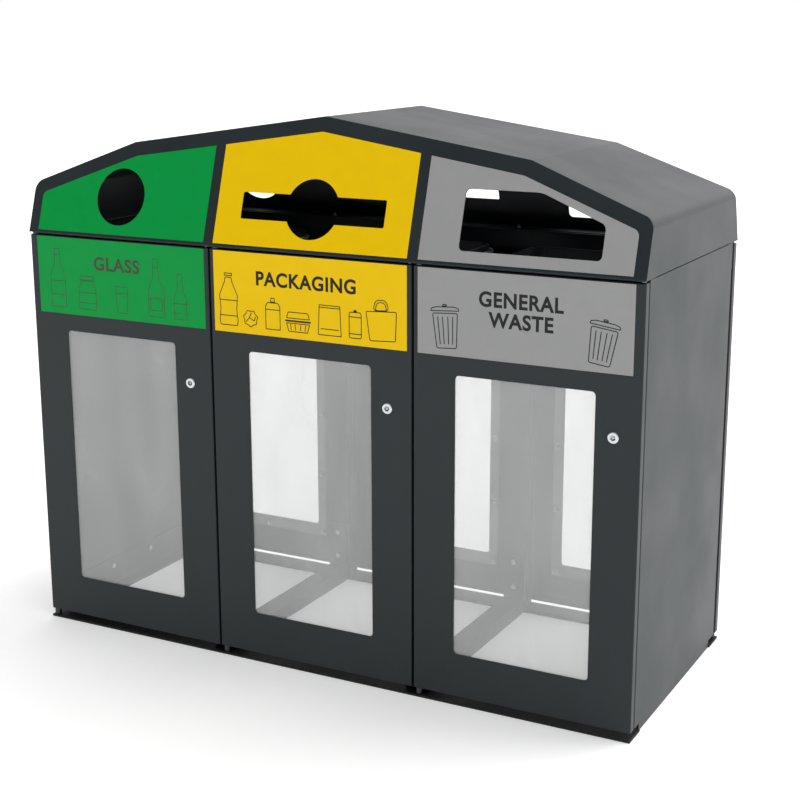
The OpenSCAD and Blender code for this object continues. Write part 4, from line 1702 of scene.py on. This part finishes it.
@dataclass
class Frame:
    """Base rails, beams, posts and headers, with their fasteners and the bag frames."""

    frame: dict
    finishes: Finishes
    rail_edge: float = 0.6 * MM
    steel_edge: float = 0.7 * MM
    bolt_edge: float = 0.45 * MM

    def build(self) -> None:
        """Makes the side panels and remakes the frame's other parts."""
        for side in (1, -1):
            SidePanel(side, self.finishes).build()
        for node in ("base_rail_front", "base_rail_rear"):
            Softened(node, self.rail_edge).build(self.frame, self.finishes.rail)
        steel = ["base_side_rails", "base_cross_beams", "header_front", "header_rear"]
        steel += [f"post_{end}_{side}" for end in ("front", "rear") for side in ("left", "right")]
        steel += [f"bag_frame_{bay.value}" for bay in Bay]
        for node in steel:
            Softened(node, self.steel_edge).build(self.frame, self.finishes.steel)
        plated = dict.fromkeys(("frame_bolts", "panel_bolts", "hood_screws"), self.finishes.zinc)
        plated |= dict.fromkeys(("rear_panel_spacers", "hinge_pins"), self.finishes.pin)
        for node, material in plated.items():
            Softened(node, self.bolt_edge, Slot.ZINC, 2).build(self.frame, material)


@dataclass
class CarriedOver:
    """CAD nodes whose shape stays, with their real finishes."""

    frame: dict
    finishes: Finishes

    def dress(self) -> None:
        """Gives every node that is still shown its material."""
        stems = {"door_pane_studs": self.finishes.zinc, "rear_pane_studs": self.finishes.zinc,
                 "door_pane": self.finishes.pane, "rear_pane": self.finishes.pane,
                 "door_hinge_bushes": self.finishes.nylon, "bag_clamp": self.finishes.zinc}
        for name, node in self.frame["nodes"].items():
            if node.hide_render:
                continue
            material = next(made for stem, made in stems.items() if name.startswith(stem))
            node.data.materials.clear()
            node.data.materials.append(material)
            LOG.info("%s keeps its shape, in %s", name, material.name)


# ---- lighting, floor and camera ---------------------------------------------------


@dataclass(frozen=True)
class Studio:
    """A white studio cove: bright surroundings, a large key light and a pale floor."""

    camera_place: Point = (1.6727, -3.0505, 1.4392)
    camera_turn: Point = (76.231, 0.0, 27.368)
    lens_mm: float = 69.19
    sensor_mm: float = 36.0
    shift: Flat = (-0.01655, -0.01134)
    floor_reach: float = 400.0
    floor_drop: float = 0.5 * MM  # keeps the floor clear of the base rails' undersides
    floor_roughness: float = 0.9
    floor_colour: str = "#f4f4f4"
    floor_glow: float = 0.25
    light_from: Point = (0.45, 0.55, 0.70)
    dome_start: float = -0.2  # where the dome starts to brighten, as a cosine from the key light
    dim: float = 0.3
    bright: float = 1.6
    sun_strength: float = 1.2
    sun_angle: float = 50.0

    def build(self) -> None:
        """Makes the floor, the lights and the camera."""
        self.floor()
        self.lights()
        self.camera()

    def floor(self) -> None:
        """Lays a large plain floor, lit from beneath so that shadows on it stay faint."""
        reach = self.floor_reach
        plane = panel("studio_floor", (-reach, -reach), (reach, reach))
        material, tree, shader, _ = blank("studio_floor_paint")
        fill(tree, shader, {"Base Color": linear(self.floor_colour), "Roughness": self.floor_roughness,
                            "Emission Color": WHITE, "Emission Strength": self.floor_glow}, {})
        plane.data.materials.append(material)
        plane.location.z = -self.floor_drop
        settle(plane)

    def lights(self) -> None:
        """Sets a white dome that is brightest above the far right, and one broad key light there."""
        world = bpy.data.worlds.new("studio_world")
        world.use_nodes = True
        tree = world.node_tree
        way = add_node(tree, "TexCoord", {}, {}).outputs["Generated"]
        key_way = Vector(self.light_from).normalized()
        towards = add_node(tree, "VectorMath", {"operation": "DOT_PRODUCT", 1: key_way}, {0: way})
        dome = add_node(
            tree, "MapRange", {"From Min": self.dome_start, "To Min": self.dim, "To Max": self.bright},
            {"Value": towards.outputs["Value"]},
        )
        seen = add_node(tree, "LightPath", {}, {}).outputs["Is Camera Ray"]
        strength = add_node(
            tree, "MapRange", {"To Max": 1.0}, {"Value": seen, "To Min": dome.outputs["Result"]}
        )
        fill(tree, tree.nodes["Background"], {"Color": WHITE}, {"Strength": strength.outputs["Result"]})
        bpy.context.scene.world = world
        lamp = bpy.data.lights.new("key_light", "SUN")
        lamp.energy = self.sun_strength
        lamp.angle = math.radians(self.sun_angle)
        holder = bpy.data.objects.new("key_light", lamp)
        bpy.context.scene.collection.objects.link(holder)
        holder.rotation_euler = Vector(self.light_from).to_track_quat("Z", "Y").to_euler()
        bpy.context.scene.view_settings.view_transform = "Standard"

    def camera(self) -> None:
        """Places the camera at a standing person's view of the right front corner."""
        data = bpy.data.cameras.new("camera")
        data.lens = self.lens_mm
        data.sensor_width = self.sensor_mm
        data.shift_x, data.shift_y = self.shift
        holder = bpy.data.objects.new("camera", data)
        bpy.context.scene.collection.objects.link(holder)
        holder.location = self.camera_place
        holder.rotation_euler = [math.radians(angle) for angle in self.camera_turn]
        bpy.context.scene.camera = holder


def main() -> None:
    """Builds the station piece by piece."""
    logging.basicConfig(level=logging.INFO, format="%(name)s: %(message)s")
    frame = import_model()
    finishes = Finishes()
    Studio().build()
    shape, openings = HoodShape(), Openings()
    HoodRoof(shape, finishes).build()
    for facing in Facing:
        HoodFace(shape, openings, facing, finishes).build()
        for bay in Bay:
            Leaf(bay, facing, finishes).build()
            HoodLabel(bay, facing, shape, openings, finishes).build()
    for bay in Bay:
        DoorLabel(bay, finishes).build()
        Lock(bay, finishes).build()
    Frame(frame, finishes).build()
    CarriedOver(frame, finishes).dress()


if __name__ == "__main__":
    main()
